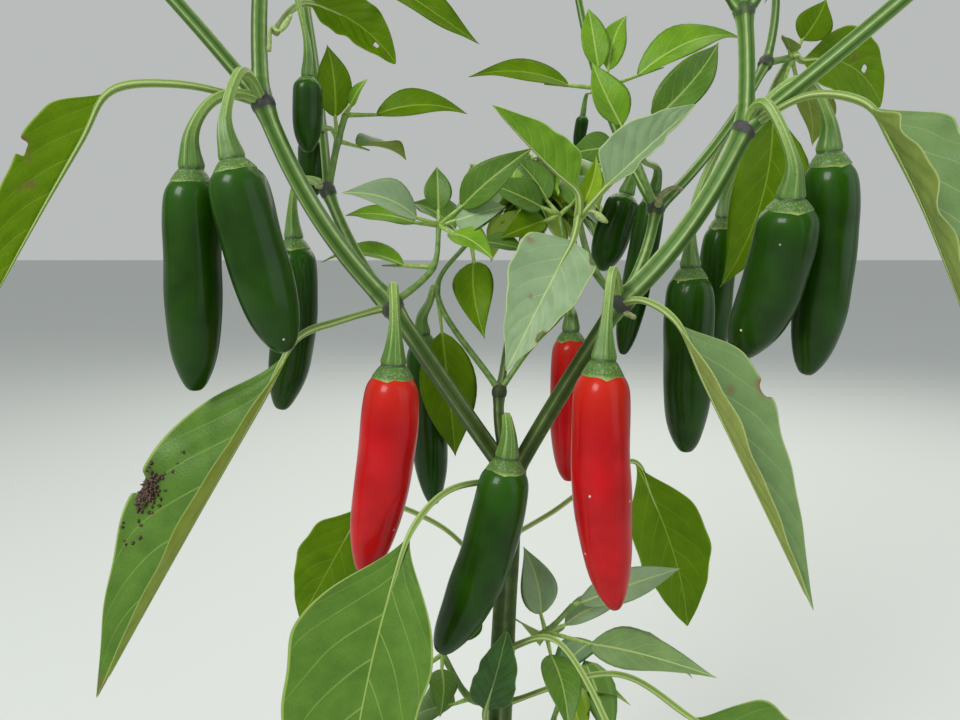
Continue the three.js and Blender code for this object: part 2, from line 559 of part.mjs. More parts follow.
function seededLeaf(mass, node, azimuth, level, random) {
  const length = mass.leaf * (1 - LEAF_SHORTENS * level) * (1 + LEAF_LENGTH_SPREAD * (random() - 0.5));
  const droop = LEAF_DROOP - DROOP_LESSENS * level + DROOP_SPREAD * (random() - 0.5);
  const out = new THREE.Vector3(Math.cos(azimuth), Math.sin(azimuth), 0);
  const foot = node.clone().addScaledVector(out, length * STALK_OUT)
    .add(new THREE.Vector3(0, 0, length * STALK_UP));
  const tip = foot.clone().addScaledVector(out, length * Math.cos(droop))
    .add(new THREE.Vector3(0, 0, -length * Math.sin(droop)));
  const width = mass.width * (length / mass.leaf);
  const facing = new THREE.Vector3(0, 0, 1).addScaledVector(out, FACE_OUT);
  return { foot, tip, width, facing, fold: LEAF_FOLD, arch: LEAF_ARCH };
}

function leafFits(mass, leaf) {
  const { across } = bladeFrame(leaf.foot, leaf.tip, leaf.facing);
  const middle = leaf.foot.clone().lerp(leaf.tip, 0.4);
  const spots = [leaf.foot, middle, leaf.foot.clone().lerp(leaf.tip, 0.7), leaf.tip,
    middle.clone().addScaledVector(across, leaf.width / 2),
    middle.clone().addScaledVector(across, -leaf.width / 2)];
  return spots.every((spot) => fits(mass, spot, LEAF_CLEAR));
}

function growMass(mass) {
  const random = seededNumbers(mass.seed);
  const start = startPoint(mass.from);
  const shoots = [{ start, direction: vec(mass.direction).normalize(), length: mass.shoot, level: 0,
    azimuth: random() * 2 * Math.PI }];
  const twigs = [];
  const leaves = [];
  const fruit = [];
  while (shoots.length) {
    const shoot = shoots.shift();
    const end = shoot.start.clone().addScaledVector(shoot.direction, shoot.length);
    const radius = SHOOT_RADIUS * SHOOT_THINS ** shoot.level;
    const turn = TURN_SPREAD * (random() - 0.5);
    const chance = random();
    if (shoot.level > 0 && !fits(mass, end, radius + KEEP_CLEAR)) continue;
    twigs.push({ start: shoot.start, end, radius });
    for (let k = 0; k < LEAVES_AT_NODE[shoot.level]; k += 1) {
      const leaf = seededLeaf(mass, end, shoot.azimuth + turn + k * LEAF_SPREAD, shoot.level, random);
      if (leafFits(mass, leaf)) leaves.push({ ...leaf, node: end });
    }
    const calyx = end.clone().add(CALYX_OFFSET);
    const tip = calyx.clone().add(FRUIT_OFFSET);
    const fruitSpots = [calyx, calyx.clone().lerp(tip, 0.5), tip];
    if (chance < mass.fruit && fruitSpots.every((spot) => fits(mass, spot, FRUIT_CLEAR))) {
      fruit.push({ node: end, calyx, tip });
    }
    if (shoot.level === mass.rounds) continue;
    const bendAxis = anySideways(shoot.direction).applyAxisAngle(shoot.direction, shoot.azimuth);
    for (const sign of [1, -1]) {
      const direction = shoot.direction.clone().applyAxisAngle(bendAxis, sign * FORK_ANGLE);
      direction.z += UPWARD_PULL;
      shoots.push({ start: end, direction: direction.normalize(), length: shoot.length * SHOOT_SHORTENS,
        level: shoot.level + 1, azimuth: shoot.azimuth + Math.PI / 2 + turn });
    }
  }
  return { twigs, leaves, fruit };
}

for (const mass of MASSES) {
  const { twigs, leaves, fruit } = growMass(mass);
  let solid;
  for (const { start, end, radius } of twigs) {
    const overrun = end.clone().addScaledVector(end.clone().sub(start).normalize(), radius * 0.5);
    const twig = sweep([start, overrun], [radius, radius * SHOOT_TAPER], TWIG_SIDES);
    solid = solid ? solid.add(twig) : twig;
  }
  for (const leaf of leaves) {
    solid = solid.add(leafOnStalk([leaf.node, leaf.foot], leaf, TWIG_LEAF_STATIONS, LEAFSTALK_RADIUS));
  }
  for (const { node, calyx, tip } of fruit) {
    const top = node.clone().lerp(calyx, 0.5).add(PEDICEL_OFFSET);
    solid = solid.add(fruitOnStalk(node, top, calyx, tip, YOUNG_FRUIT_RADIUS, 0, true).solid);
  }
  addPiece(mass.name, solid, undefined, 'leaf');
}

export default group;
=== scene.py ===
"""Chilli pepper plant: ribbed stems, glossy pods on their stalks, folded leaves and a leafy crown."""
import logging
import math
from dataclasses import dataclass, field, replace
from enum import Enum
from typing import Callable, Iterable, Sequence

import bpy
import numpy as np
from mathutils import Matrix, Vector
from numpy.linalg import norm


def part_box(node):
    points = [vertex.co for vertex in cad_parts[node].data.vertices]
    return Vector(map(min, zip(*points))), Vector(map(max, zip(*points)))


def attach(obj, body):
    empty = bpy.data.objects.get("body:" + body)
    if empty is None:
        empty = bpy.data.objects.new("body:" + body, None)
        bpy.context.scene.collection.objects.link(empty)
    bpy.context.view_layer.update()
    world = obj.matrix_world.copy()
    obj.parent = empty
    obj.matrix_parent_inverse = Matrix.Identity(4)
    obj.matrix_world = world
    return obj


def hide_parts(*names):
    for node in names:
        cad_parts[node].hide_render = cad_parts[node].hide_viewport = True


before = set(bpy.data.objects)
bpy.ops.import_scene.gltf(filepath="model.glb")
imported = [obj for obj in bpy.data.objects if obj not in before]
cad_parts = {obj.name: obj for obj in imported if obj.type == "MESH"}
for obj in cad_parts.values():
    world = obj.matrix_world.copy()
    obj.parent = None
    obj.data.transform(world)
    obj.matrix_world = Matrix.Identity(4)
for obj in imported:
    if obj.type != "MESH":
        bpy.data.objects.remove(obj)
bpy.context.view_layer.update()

log = logging.getLogger("chilli_plant")

# Sizes are in millimetres throughout, and turned to metres where a mesh is made
MM = 0.001
BODY = "root"
Point = np.ndarray
Row = tuple[float, ...]
Shape = tuple[Point, list]
Random = Callable[[], float]
Piece = bpy.types.Object
Material = bpy.types.Material
Node = bpy.types.Node
Socket = bpy.types.NodeSocket

# The plant's frame, as the solids have it
FORK_HEIGHT = 300.0
STEM_FOOT_RADIUS = 8.6
STEM_RADIUS = 6.2
STEM_TOP_RADIUS = 4.7
FLARE_HEIGHT = 26.0
STEM_BOW = -3.0
STEM_STEPS = 12
LIMB_STEP = 18.0
PEDICEL_RADIUS = 1.9
FULL_POD_RADIUS = 9.0
PETIOLE_RADIUS = 1.3
LEAFSTALK_RADIUS = 0.95
BLADE_THICKNESS = 0.35
LEAF_FOLD = 0.22
LEAF_ARCH = 0.09
STALK_SHARE = 0.24
FACE_ASIDE = 0.05
KEEP_CLEAR = 2.2
SPACE_MARGIN = 0.06

# A blade's side veins: how many a side, and how far along they lag, sweep and stagger
VEINS = 7
VEIN_LAG = 0.22
VEIN_SWEEP = 0.1
VEIN_STAGGER = 0.06

# Forks: name, the fork it grows from, and its place from there
FORK_ROWS = (
    ("main", "ground", 5, 0, FORK_HEIGHT), ("left", "main", -46, -12, 71), ("right", "main", 39, -12, 72),
    ("centre", "main", -5, 10, 34), ("left_top", "left", -44, -2, 72), ("left_thin", "left", -26, 18, 43),
    ("right_top", "right", 42, -2, 62), ("right_thin", "right", 17, 20, 35),
    ("left_up", "left_top", 9, 8, 89), ("left_far", "left_top", -75, -42, 84),
    ("left_rear", "left_thin", -20, 56, 94), ("right_up", "right_top", -1, 4, 41),
    ("right_up_in", "right_up", -25, 8, 56), ("right_up_out", "right_up", 29, 4, 60),
    ("right_far", "right_top", 88, -36, 82), ("right_rear", "right_thin", 48, 22, 60),
    ("right_back", "right_rear", 16, 44, 58), ("centre_rear", "right_thin", -26, 66, 112),
    ("heart", "centre", 10, 50, 50),
)


@dataclass(frozen=True)
class Limb:
    """A bough or limb from fork to fork, whose middle bows off the straight line."""

    name: str
    start: str
    end: str
    start_radius: float
    end_radius: float
    bow: Row


LIMBS = tuple(Limb(*row) for row in (
    ("left_bough", "main", "left", 3.5, 3.2, (3, 0, -5)),
    ("right_bough", "main", "right", 3.4, 3.2, (-4, 0, -5)),
    ("centre_bough", "main", "centre", 2.4, 2.1, (-2, 2, 0)),
    ("left_limb", "left", "left_top", 3.5, 3.2, (-4, 0, -3)),
    ("left_thin_limb", "left", "left_thin", 2.4, 2.1, (-2, 4, -2)),
    ("left_upright", "left_top", "left_up", 2.9, 2.3, (-4, 0, 0)),
    ("left_leader", "left_top", "left_far", 2.5, 2.0, (2, 0, 2)),
    ("left_rear_limb", "left_thin", "left_rear", 1.9, 1.7, (0, 6, 0)),
    ("right_limb", "right", "right_top", 3.8, 3.4, (3, 0, -3)),
    ("right_thin_limb", "right", "right_thin", 2.2, 2.0, (2, 2, -3)),
    ("right_upright", "right_top", "right_up", 2.9, 2.7, (1, 0, 0)),
    ("right_inner_leader", "right_up", "right_up_in", 2.2, 1.9, (-4, 0, -3)),
    ("right_outer_leader", "right_up", "right_up_out", 2.2, 1.9, (4, 0, -3)),
    ("right_leader", "right_top", "right_far", 2.9, 2.3, (0, 0, -2)),
    ("right_rear_limb", "right_thin", "right_rear", 2.0, 1.8, (3, 2, -2)),
    ("right_back_limb", "right_rear", "right_back", 1.8, 1.6, (3, 0, 0)),
    ("centre_rear_limb", "right_thin", "centre_rear", 1.9, 1.6, (-3, 6, -4)),
    ("heart_limb", "centre", "heart", 1.7, 1.5, (0, 3, -4)),
))


class Ripeness(Enum):
    """How ripe a pod is, by the name of its material slot."""

    RED = "red_fruit"
    GREEN = "green_fruit"


@dataclass(frozen=True)
class PodPlan:
    """A full-grown pod: its stalk's arch, its calyx and tip, and how its body narrows."""

    name: str
    start: str | Row
    over: Row
    calyx: Row
    tip: Row
    radius: float
    bend: float
    ripeness: Ripeness
    full_until: float = 0.5
    power: float = 2.5
    bluntness: float = 0.55


RED, GREEN = Ripeness.RED, Ripeness.GREEN
PODS = tuple(PodPlan(*row) for row in (
    ("chilli_red_left", "left", (-39, -21, 379), (-39, -26, 351), (-51, -30, 273), 10.4, 2,
     RED, 0.3, 2.9, 0.5),
    ("chilli_red_right", "right", (39, -23, 385), (36, -27, 353), (42, -33, 260), 10.6, -3,
     RED, 0.45, 2.5, 0.6),
    ("chilli_green_front", "main", (2, -14, 330), (2, -20, 315), (-24, -27, 240), 10.2, 5,
     GREEN, 0.4, 2.6, 0.5),
    ("chilli_left_outer", "left_top", (-97, -32, 440), (-103, -36, 418), (-106, -37, 343), 9.3, 0, GREEN),
    ("chilli_left_inner", "left_top", (-86, -34, 449), (-86, -46, 420), (-71, -47, 358), 9.7, -1, GREEN),
    ("chilli_left_small", "left_up", (-75, -6, 490), (-71, -4, 454), (-72, -4, 427), 5.4, 0, GREEN),
    ("chilli_left_rear", "left_thin", (-83, 22, 418), (-87, 30, 396), (-95, 26, 322), 9.4, 3, GREEN),
    ("chilli_right_inner", "right_rear", (84, 34, 412), (83, 34, 384), (84, 32, 301), 10.6, 0, GREEN),
    ("chilli_right_front", "right_top", (88, -27, 441), (97, -31, 409), (86, -18, 352), 10.6, 4, GREEN),
    ("chilli_right_outer", "right_top", (103, -20, 450), (116, -16, 426), (115, -12, 344), 10.0, 3, GREEN),
))


class Tone(Enum):
    """The greens that leaves of one plant show, by age and light."""

    DEEP = "deep"
    FULL = "full"
    FRESH = "fresh"
    SUNLIT = "sunlit"
    # a pale grey-green upper side: partly the leaf's own pale green, partly painted sheen of reflected light
    GREY = "grey"
    YOUNG = "young"
    # a greyer green upper side whose paleness is a milder painted sheen of reflected light
    SOFT = "soft"


@dataclass(frozen=True)
class Nibble:
    """A bite or hole: its place across (-1 to 1) and along the blade, and its radius."""

    across: float
    along: float
    radius: float


@dataclass(frozen=True)
class LeafPlan:
    """A large leaf: its stalk's arch, its midrib, and the width and lift of each half.

    The lift is the angle by which a half rises off the blade's plane towards the way it faces, and the
    curl is what that angle gains from midrib to edge. The first half is the one on the across side.
    """

    name: str
    start: str | float | Row
    over: Row
    foot: Row
    tip: Row
    facing: Row
    tone: Tone
    widths: Row
    lifts: Row
    curls: Row = (10.0, 10.0)
    bow: Row = (0.0, 0.0, 0.0)
    base_power: float = 0.75
    tip_power: float = 1.05
    wave: float = 0.05
    nibbles: tuple[Nibble, ...] = ()
    scars: tuple[Nibble, ...] = ()


LEAVES = (
    LeafPlan("leaf_left_low", "left", (-60, -25, 366), (-71, -31, 362), (-141, -52, 238), (-0.4, -1, 0.3),
             Tone.FULL, (27, 15.5), (4, 59), (6, 10), (3, 0, 6), 1.1, 1.1, 0.03, (Nibble(0.98, 0.55, 2.6),),
             (Nibble(0.72, 0.56, 3.0), Nibble(0.05, 0.97, 3.0))),
    LeafPlan("leaf_left_high", "left_top", (-108, -30, 446), (-127.6, -36.5, 442.6), (-166.4, -56, 366),
             (-0.2, -1, 0.2), Tone.SUNLIT, (14, 17), (28, -138), (8, -4), (0, 0, 1), 0.42, 0.95, 0.03,
             (Nibble(0.96, 0.34, 2.0),), (Nibble(0.7, 0.38, 1.4), Nibble(0.45, 0.45, 1.5),
                                          Nibble(0.6, 0.48, 0.9))),
    LeafPlan("leaf_front_left", "main", (-20, -26, 304), (-31.6, -43, 296), (-55, -68, 187), (0, -1, 0.6),
             Tone.FULL, (28.7, 21.6), (5, 8), (6, 10), (-2.5, 0, 6.6), 0.84, 0.9, 0.03, (),
             (Nibble(0.75, 0.4, 1.7), Nibble(0.85, 0.45, 1.4), Nibble(0.35, 0.43, 1.2))),
    LeafPlan("leaf_left_oval", 262, (-26, 30, 268), (-62, 44, 274), (-95, 44, 214), (0, -1, 0.3),
             Tone.SUNLIT, (17, 17), (6, 6), (8, 8), (0, -4, 0)),
    LeafPlan("leaf_right_low", "right", (50, -26, 374), (59, -34, 368), (108.3, -46, 267.4), (0.5, -1, 0.4),
             Tone.SOFT, (16.5, 19.4), (56, 14), (6, 6), (0, 0, 0), 0.5, 1.13, 0.03,
             (Nibble(-0.98, 0.31, 2.6),), (Nibble(-0.9, 0.33, 2.2), Nibble(-0.4, 0.27, 1.3))),
    LeafPlan("leaf_right_back", 270, (24, 30, 274), (64, 44, 294), (93, 46, 210), (0, -1, 0.3),
             Tone.SUNLIT, (18, 18), (6, 6), (8, 8), (4, -4, 0)),
    LeafPlan("leaf_right_high", "right_top", (103, -28, 443), (118, -37, 438), (143.4, -62, 362.7),
             (0.3, -1, 0.3), Tone.SOFT, (20.3, 21.1), (48, 20), (6, 8), (-0.5, 0, 6.4), 0.57, 0.88, 0.07),
    LeafPlan("leaf_foot_right", 236, (22, -24, 243), (42, -42, 212), (58, -62, 138), (0.2, -1, 0.6),
             Tone.FULL, (23, 23), (8, 8), (10, 10), (0, -4, 2)),
    LeafPlan("leaf_foot_far", 210, (48, -14, 223), (74.5, -20, 209), (134, -40, 172), (0.3, -0.6, 1),
             Tone.FULL, (22, 22), (10, 10), (12, 12), (0, -4, 4)),
)


# Leaves of the sprays that show near enough for a large blade, by spray and by place in its row
CLOSE_LEAVES = {
    ("spray_right_heart", 0): LeafPlan(
        "centre_leaf", (29, -4, 403), (28, -10, 402), (26, -14, 395), (1, -34, 350), (0, -1, 0.35),
        Tone.GREY,
        (17, 13), (6, 10), (6, 12), (0, -2, 1), 0.3, 1.0, 0.07,
        (Nibble(-0.98, 0.1, 1.6), Nibble(-0.95, 0.72, 1.8)),
        (Nibble(0.85, 0.16, 1.8), Nibble(0.3, 0.5, 0.8))),
    ("spray_right_heart", 1): LeafPlan(
        "heart_fresh_leaf", (29, -4, 403), (29, -7, 408), (28, -8, 413), (-4, -27, 440), (0, -1, 0.1),
        Tone.FRESH, (11, 12), (8, -150), (8, -8), (1, 0, -2), 0.6, 1.0, 0.04),
    ("spray_right_heart", 2): LeafPlan(
        "heart_grey_leaf", (29, -4, 403), (33, -6, 408), (38, -8, 414), (69, -12, 443), (0, -1, 0.1),
        Tone.GREY, (11, 13), (70, 6), (8, 8), (0, 0, 0), 0.45, 1.0, 0.05),
    ("spray_right_rear", 0): LeafPlan(
        "rear_oval_leaf", (121, 34, 470), (123, 34, 471), (125, 35, 469), (165, 44, 453), (0, -1, 0.2),
        Tone.SUNLIT, (15, 15), (6, 6), (8, 8), (3, 0, 7), 0.5, 0.65, 0.03,
        (Nibble(-0.25, 0.5, 0.9), Nibble(-0.2, 0.66, 0.8)),
        (Nibble(-0.25, 0.5, 1.4), Nibble(-0.2, 0.66, 1.3))),
    ("spray_left_upper", 0): LeafPlan(
        "upper_left_leaf", (-81, -9, 467.5), (-78.5, 2, 478), (-74.3, 14, 485), (-41, 17, 463.5),
        (0, -1, 0.3), Tone.SUNLIT, (9, 10), (10, 6), (10, 8), (2, 0, 3.5), 0.6, 0.8, 0.05,
        (Nibble(0.25, 0.75, 0.8),), (Nibble(0.25, 0.75, 1.5), Nibble(0.3, 0.87, 1.2))),
    ("spray_foot_left", 0): LeafPlan(
        "foot_dark_leaf", (-2, -4, 194), (-5, -11, 198), (-6, -16, 208), (2.5, -20, 245), (0, -1, 0.2),
        Tone.DEEP, (9, 9), (8, 8), (8, 8), (0, -2, 0), 0.5, 0.8, 0.05),
}


@dataclass(frozen=True)
class SprayPlan:
    """A twig with placed leaves and young pods.

    A leaf's row: point of the twig, tip, width, turn of its face in degrees (0 front, 90 up), and where
    they differ from the usual, its arch and its stalk's share. A pod's row: point, calyx, tip, radius.
    """

    name: str
    start: str | float
    stem: tuple[Row, ...]
    radius: float
    leaves: tuple[Row, ...]
    tones: tuple[Tone, ...]
    pods: tuple[tuple, ...] = ()


DEEP, FULL, FRESH, SUNLIT, GREY, YOUNG, SOFT = Tone
SPRAYS = (
    SprayPlan("spray_left_inner", "left", ((-26, 0, 385), (-24, 6, 401)), 1.5, (
        (1, -58, -14, 412, 15, 30), (1, -62, 13, 405, 12, 50), (1, -25, 12, 424, 11, 20),
        (0, -76, 30, 386, 12, 60), (1, 12, -6, 429, 14, 20), (1, 2, 0, 408, 16, 30),
        (1, -3, -15, 388, 13, 50)), (GREY, FRESH, FULL, FRESH, FULL, GREY, FRESH)),
    SprayPlan("spray_centre_left", "centre", ((-26, 24, 375), (-12, 31, 396)), 1.5, (
        (1, -6, 6, 356, 17, 0), (1, 12, 24, 391, 12, 50), (0, -19, 31, 300, 24, 10),
        (1, -40, 48, 412, 18, 60), (1, 2, 58, 420, 18, 90)), (SUNLIT, FULL, SUNLIT, FULL, FULL),
        ((0, (-33, 32, 355), (-29, 34, 276), 8.2),)),
    SprayPlan("spray_centre_right", "centre", ((13, 14, 352), (29, 20, 370), (26, 34, 406)), 1.3, (
        (2, -6, 26, 419, 16, 30), (2, 0, 25, 396, 13, 30), (2, 6, 52, 432, 16, 60),
        (2, 48, 60, 424, 20, 90)), (FULL, SUNLIT, FULL, FULL),
        ((1, (33, 43, 355), (33, 40, 285), 9, Ripeness.RED),)),
    SprayPlan("spray_right_heart", "right", ((34, -10, 385), (29, -4, 403)), 1.5, (
        (1, 1, -34, 343, 34, 20, 0.05, 0.12), (1, -4, -27, 440, 16, 30), (1, 69, -12, 443, 21, 20),
        (1, 35, -5, 426, 8, 0)), (GREY, SUNLIT, GREY, YOUNG)),
    SprayPlan("spray_right_inner", "right_thin", ((52, 16, 432), (42, 30, 457)), 1.5, (
        (1, 37, 39, 491, 12, 0), (1, 54, 42, 489, 11, 10), (1, -13, 28, 461, 14, 40),
        (0, 36.6, 22, 465.4, 15, 20), (0, 88, 26, 474, 17, 30), (0, 26, 10, 428, 14, 20),
        (1, 104, 44, 480, 17, 40, 0.16)), (FRESH, FRESH, SUNLIT, FRESH, FULL, FULL, FRESH),
        ((0, (68, 42, 416), (56, 40, 344), 6.4), (0, (61, 68, 417), (49, 66, 381), 8.6),
         (1, (39, 62, 452), (37, 66, 437), 3))),
    SprayPlan("spray_right_rear", "right_rear", ((121, 34, 470),), 1.4, (
        (0, 165, 44, 453, 32, 15, 0.09, 0.1), (0, 131, 28, 491, 15, 10, 0.09, 0.3), (0, 101, 49, 374, 34, 0),
        (0, 150, 74, 440, 26, 60), (0, 111, 18, 474, 9, 50)), (SUNLIT, SUNLIT, SUNLIT, FULL, GREY),
        ((0, (106, 64, 406), (100, 63, 320), 8.6),)),
    SprayPlan("spray_left_middle", "left_thin", ((-64, 14, 434), (-61, 15, 444)), 1.5, (
        (0, -68, 18, 471, 14, 0), (1, -13, 25, 446, 13, 30, 0.16), (1, -51, 8, 456, 7, 40),
        (0, -40, 44, 430, 16, 70)), (SUNLIT, SUNLIT, FRESH, FULL),
        ((0, (-78, 28, 437), (-78, 28, 413), 5.4),)),
    SprayPlan("spray_left_upper", "left_up", ((-66, 2, 504), (-62, 8, 496)), 1.4, (
        (1, -39, 17, 462, 18, 20), (0, -8, 22, 472, 16, 30), (0, -44, -20, 520, 20, 70)),
        (SUNLIT, SUNLIT, FULL)),
    SprayPlan("spray_foot_left", 205, ((-12, -3, 205), (-24, 2, 222)), 1.7, (
        (0, 3, -15, 242, 19, 0), (1, -24, -20, 208, 12, 30), (1, -8, 26, 236, 16, 0),
        (1, -70, -22, 200, 22, 60), (0, -40, 30, 172, 22, 60)), (DEEP, FULL, FULL, SUNLIT, FULL)),
    SprayPlan("spray_foot_right", 222, ((20, 6, 230), (32, 10, 240)), 1.7, (
        (0, 76, -46, 242, 17, 50, 0.06, 0.3), (0, 10.7, 16, 264.4, 16, 10, 0.09, 0.2),
        (0, 56, 24, 233, 12, 60),
        (1, 83.5, 29, 248, 14, 40, 0.09, 0.05), (0, 26, -30, 208, 16, 60), (0, 22, 52, 196, 24, 60)),
        (SOFT, GREY, GREY, GREY, FULL, FULL)),
)


@dataclass(frozen=True)
class MassPlan:
    """A tuft of shoots: its first shoot, the space it keeps to, its leaf, and how it repeats."""

    name: str
    start: str | float
    direction: Row
    middle: Row
    space: Row
    shoot: float
    leaf: float
    width: float
    pod_chance: float
    seed: int
    tones: tuple[Tone, ...] = (FULL, FULL, DEEP, SUNLIT, FRESH)


ROUNDS = 2
MASSES = tuple(MassPlan(*row) for row in (
    ("mass_left_top", "left_up", (0.1, 0.2, 1), (-78, 2, 590), (62, 62, 66), 32, 60, 28, 0.2, 11),
    ("mass_left_far", "left_far", (-0.6, -0.3, 0.8), (-176, -66, 560), (62, 60, 62), 30, 62, 29, 0.2, 22),
    ("mass_left_rear", "left_rear", (-0.6, 0.5, 0.8), (-120, 104, 560), (66, 64, 62), 32, 62, 29, 0.2, 33),
    ("mass_right_top_inner", "right_up_in", (-0.4, 0.1, 1), (38, -14, 588), (56, 62, 62),
     30, 60, 28, 0.2, 44),
    ("mass_right_top_outer", "right_up_out", (0.3, 0.1, 1), (128, 2, 596), (56, 60, 62),
     30, 60, 28, 0.2, 55),
    ("mass_right_far", "right_far", (0.6, -0.3, 0.8), (188, -66, 556), (60, 60, 62), 30, 62, 29, 0.2, 66),
    ("mass_right_back", "right_back", (0.5, 0.5, 0.7), (158, 112, 552), (64, 64, 62), 32, 62, 29, 0.2, 77),
    ("mass_centre_rear", "centre_rear", (-0.2, 0.5, 0.9), (20, 110, 572), (72, 60, 64), 32, 60, 28, 0.2, 88),
    ("mass_heart", "heart", (0.2, 0.6, 0.8), (26, 104, 424), (62, 50, 48), 24, 52, 24, 0.2, 121),
    ("mass_foot_left", 128, (-0.9, 0.2, 0.7), (-70, 24, 150), (64, 52, 40), 26, 54, 26, 0.0, 99),
    ("mass_foot_right", 150, (0.7, 0.7, 0.6), (66, 60, 172), (60, 52, 40), 44, 54, 26, 0.0, 110),
))


# Lines and directions


def vec(row: Iterable[float]) -> Point:
    """Return a row of three numbers as a vector."""
    return np.array(tuple(row), float)


def unit(vector: Point) -> Point:
    """Return the vector, or each vector of an array, at length one."""
    return vector / np.maximum(norm(vector, axis=-1, keepdims=True), 1e-12)


def bent_line(a: Point, b: Point, bow: Point, steps: int) -> Point:
    """Line from a to b whose middle lies off the straight line by the bow.

    Args:
        a: start.
        b: end.
        bow: offset of the middle.
        steps: number of stretches.

    Returns:
        The line's points, one more than the steps.
    """
    control = (a + b) / 2 + 2 * bow
    t = np.linspace(0, 1, steps + 1)[:, None]
    return (1 - t) ** 2 * a + 2 * t * (1 - t) * control + t ** 2 * b


def smooth_line(knots: Sequence[Point], step: float) -> tuple[Point, np.ndarray]:
    """Smooth curve through a few points.

    Args:
        knots: the points it passes through.
        step: length of its stretches.

    Returns:
        The curve's points, and the index of the point at each knot.
    """
    knots = [np.asarray(k, float) for k in knots]
    chord = np.cumsum([0.0] + [math.sqrt(norm(b - a)) for a, b in zip(knots, knots[1:])])
    slopes = np.gradient(np.array(knots), chord, axis=0)
    points, marks = [knots[0]], [0]
    for i in range(len(knots) - 1):
        span = chord[i + 1] - chord[i]
        count = max(2, round(norm(knots[i + 1] - knots[i]) / step))
        t = (np.arange(1, count + 1) / count)[:, None]
        points.extend((2 * t ** 3 - 3 * t ** 2 + 1) * knots[i] + (t ** 3 - 2 * t ** 2 + t) * span * slopes[i]
                      + (3 * t ** 2 - 2 * t ** 3) * knots[i + 1] + (t ** 3 - t ** 2) * span * slopes[i + 1])
        marks.append(len(points) - 1)
    return np.array(points), np.array(marks)


def directions(points: Point) -> Point:
    """The way along a line at each of its points.

    Args:
        points: the line.

    Returns:
        Unit directions.
    """
    ahead = np.vstack([points[1:], points[-1:]])
    behind = np.vstack([points[:1], points[:-1]])
    return unit(ahead - behind)


def lengths(points: Point) -> np.ndarray:
    """Return the distance along a line of points at each of them."""
    return np.concatenate([[0.0], np.cumsum(norm(np.diff(points, axis=0), axis=1))])


def any_sideways(direction: Point) -> Point:
    """Return a unit vector square to a direction."""
    reference = vec((0, 0, 1)) if abs(direction[2]) < 0.9 else vec((1, 0, 0))
    return unit(np.cross(reference, direction))


def smoothstep(low: float, high: float, value: np.ndarray) -> np.ndarray:
    """Return 0 below low, 1 above high, and a smooth rise between."""
    t = np.clip((value - low) / (high - low), 0, 1)
    return t * t * (3 - 2 * t)


def seeded_numbers(seed: int) -> Random:
    """Repeatable numbers from 0 to 1, the same as the solids are grown with.

    Args:
        seed: whole number that fixes the run.

    Returns:
        A function that gives the next number.
    """
    state = seed & 0xFFFFFFFF

    def product(a: int, b: int) -> int:
        """Return the low 32 bits of a product."""
        return (a * b) & 0xFFFFFFFF

    def following() -> float:
        """The next number of the run.

        Returns:
            A number from 0 up to 1.
        """
        nonlocal state
        state = (state + 0x6D2B79F5) & 0xFFFFFFFF
        t = product(state ^ (state >> 15), state | 1)
        t ^= (t + product(t ^ (t >> 7), t | 61)) & 0xFFFFFFFF
        return ((t ^ (t >> 14)) & 0xFFFFFFFF) / 4294967296

    return following


def between(ranges: Sequence[Row], random: Random) -> list[float]:
    """Return a chance value from each range of a least and a most."""
    return [low + (high - low) * random() for low, high in ranges]


class Skeleton:
    """The plant's forks and lines, and what grows among them keeps clear of."""

    def __init__(self) -> None:
        """Work out the forks and the stem's line."""
        self.forks: dict[str, Point] = {"ground": vec((0, 0, 0))}
        for name, start, x, y, z in FORK_ROWS:
            self.forks[name] = self.forks[start] + vec((x, y, z))
        self.stem = bent_line(self.forks["ground"], self.forks["main"], vec((STEM_BOW, 0, 0)), STEM_STEPS)
        self.obstacles: list[tuple[Point, Point, float]] = []
        self._packed: tuple[Point, Point, np.ndarray] | None = None

    def start_point(self, start: str | float | Row) -> Point:
        """Where a limb or twig starts.

        Args:
            start: a fork's name, a place, or a height on the stem's middle.

        Returns:
            The place.
        """
        if isinstance(start, str):
            return self.forks[start]
        if isinstance(start, (tuple, np.ndarray)):
            return vec(start)
        return self.stem[np.argmin(abs(self.stem[:, 2] - start))]

    def block(self, a: Iterable[float], b: Iterable[float], radius: float) -> None:
        """Add a straight stretch that seeded twigs and leaves keep clear of."""
        self.obstacles.append((vec(a), vec(b), radius))
        self._packed = None

    def block_line(self, points: Point, radii: Sequence[float]) -> None:
        """Add the stretches of a line, each with the radius at its start."""
        for a, b, radius in zip(points, points[1:], radii):
            self.block(a, b, radius)

    def clear(self, point: Point, clearance: float) -> bool:
        """Tell whether a point lies clear of everything added so far.

        Args:
            point: the place to test.
            clearance: distance to keep from each surface.

        Returns:
            True if it is clear.
        """
        if self._packed is None:
            a, b, radii = zip(*self.obstacles)
            self._packed = np.array(a), np.array(b), np.array(radii)
        a, b, radii = self._packed
        along = b - a
        share = np.clip(((point - a) * along).sum(1) / (along * along).sum(1), 0, 1)[:, None]
        return bool((norm(point - a - share * along, axis=1) > radii + clearance).all())


# Meshes


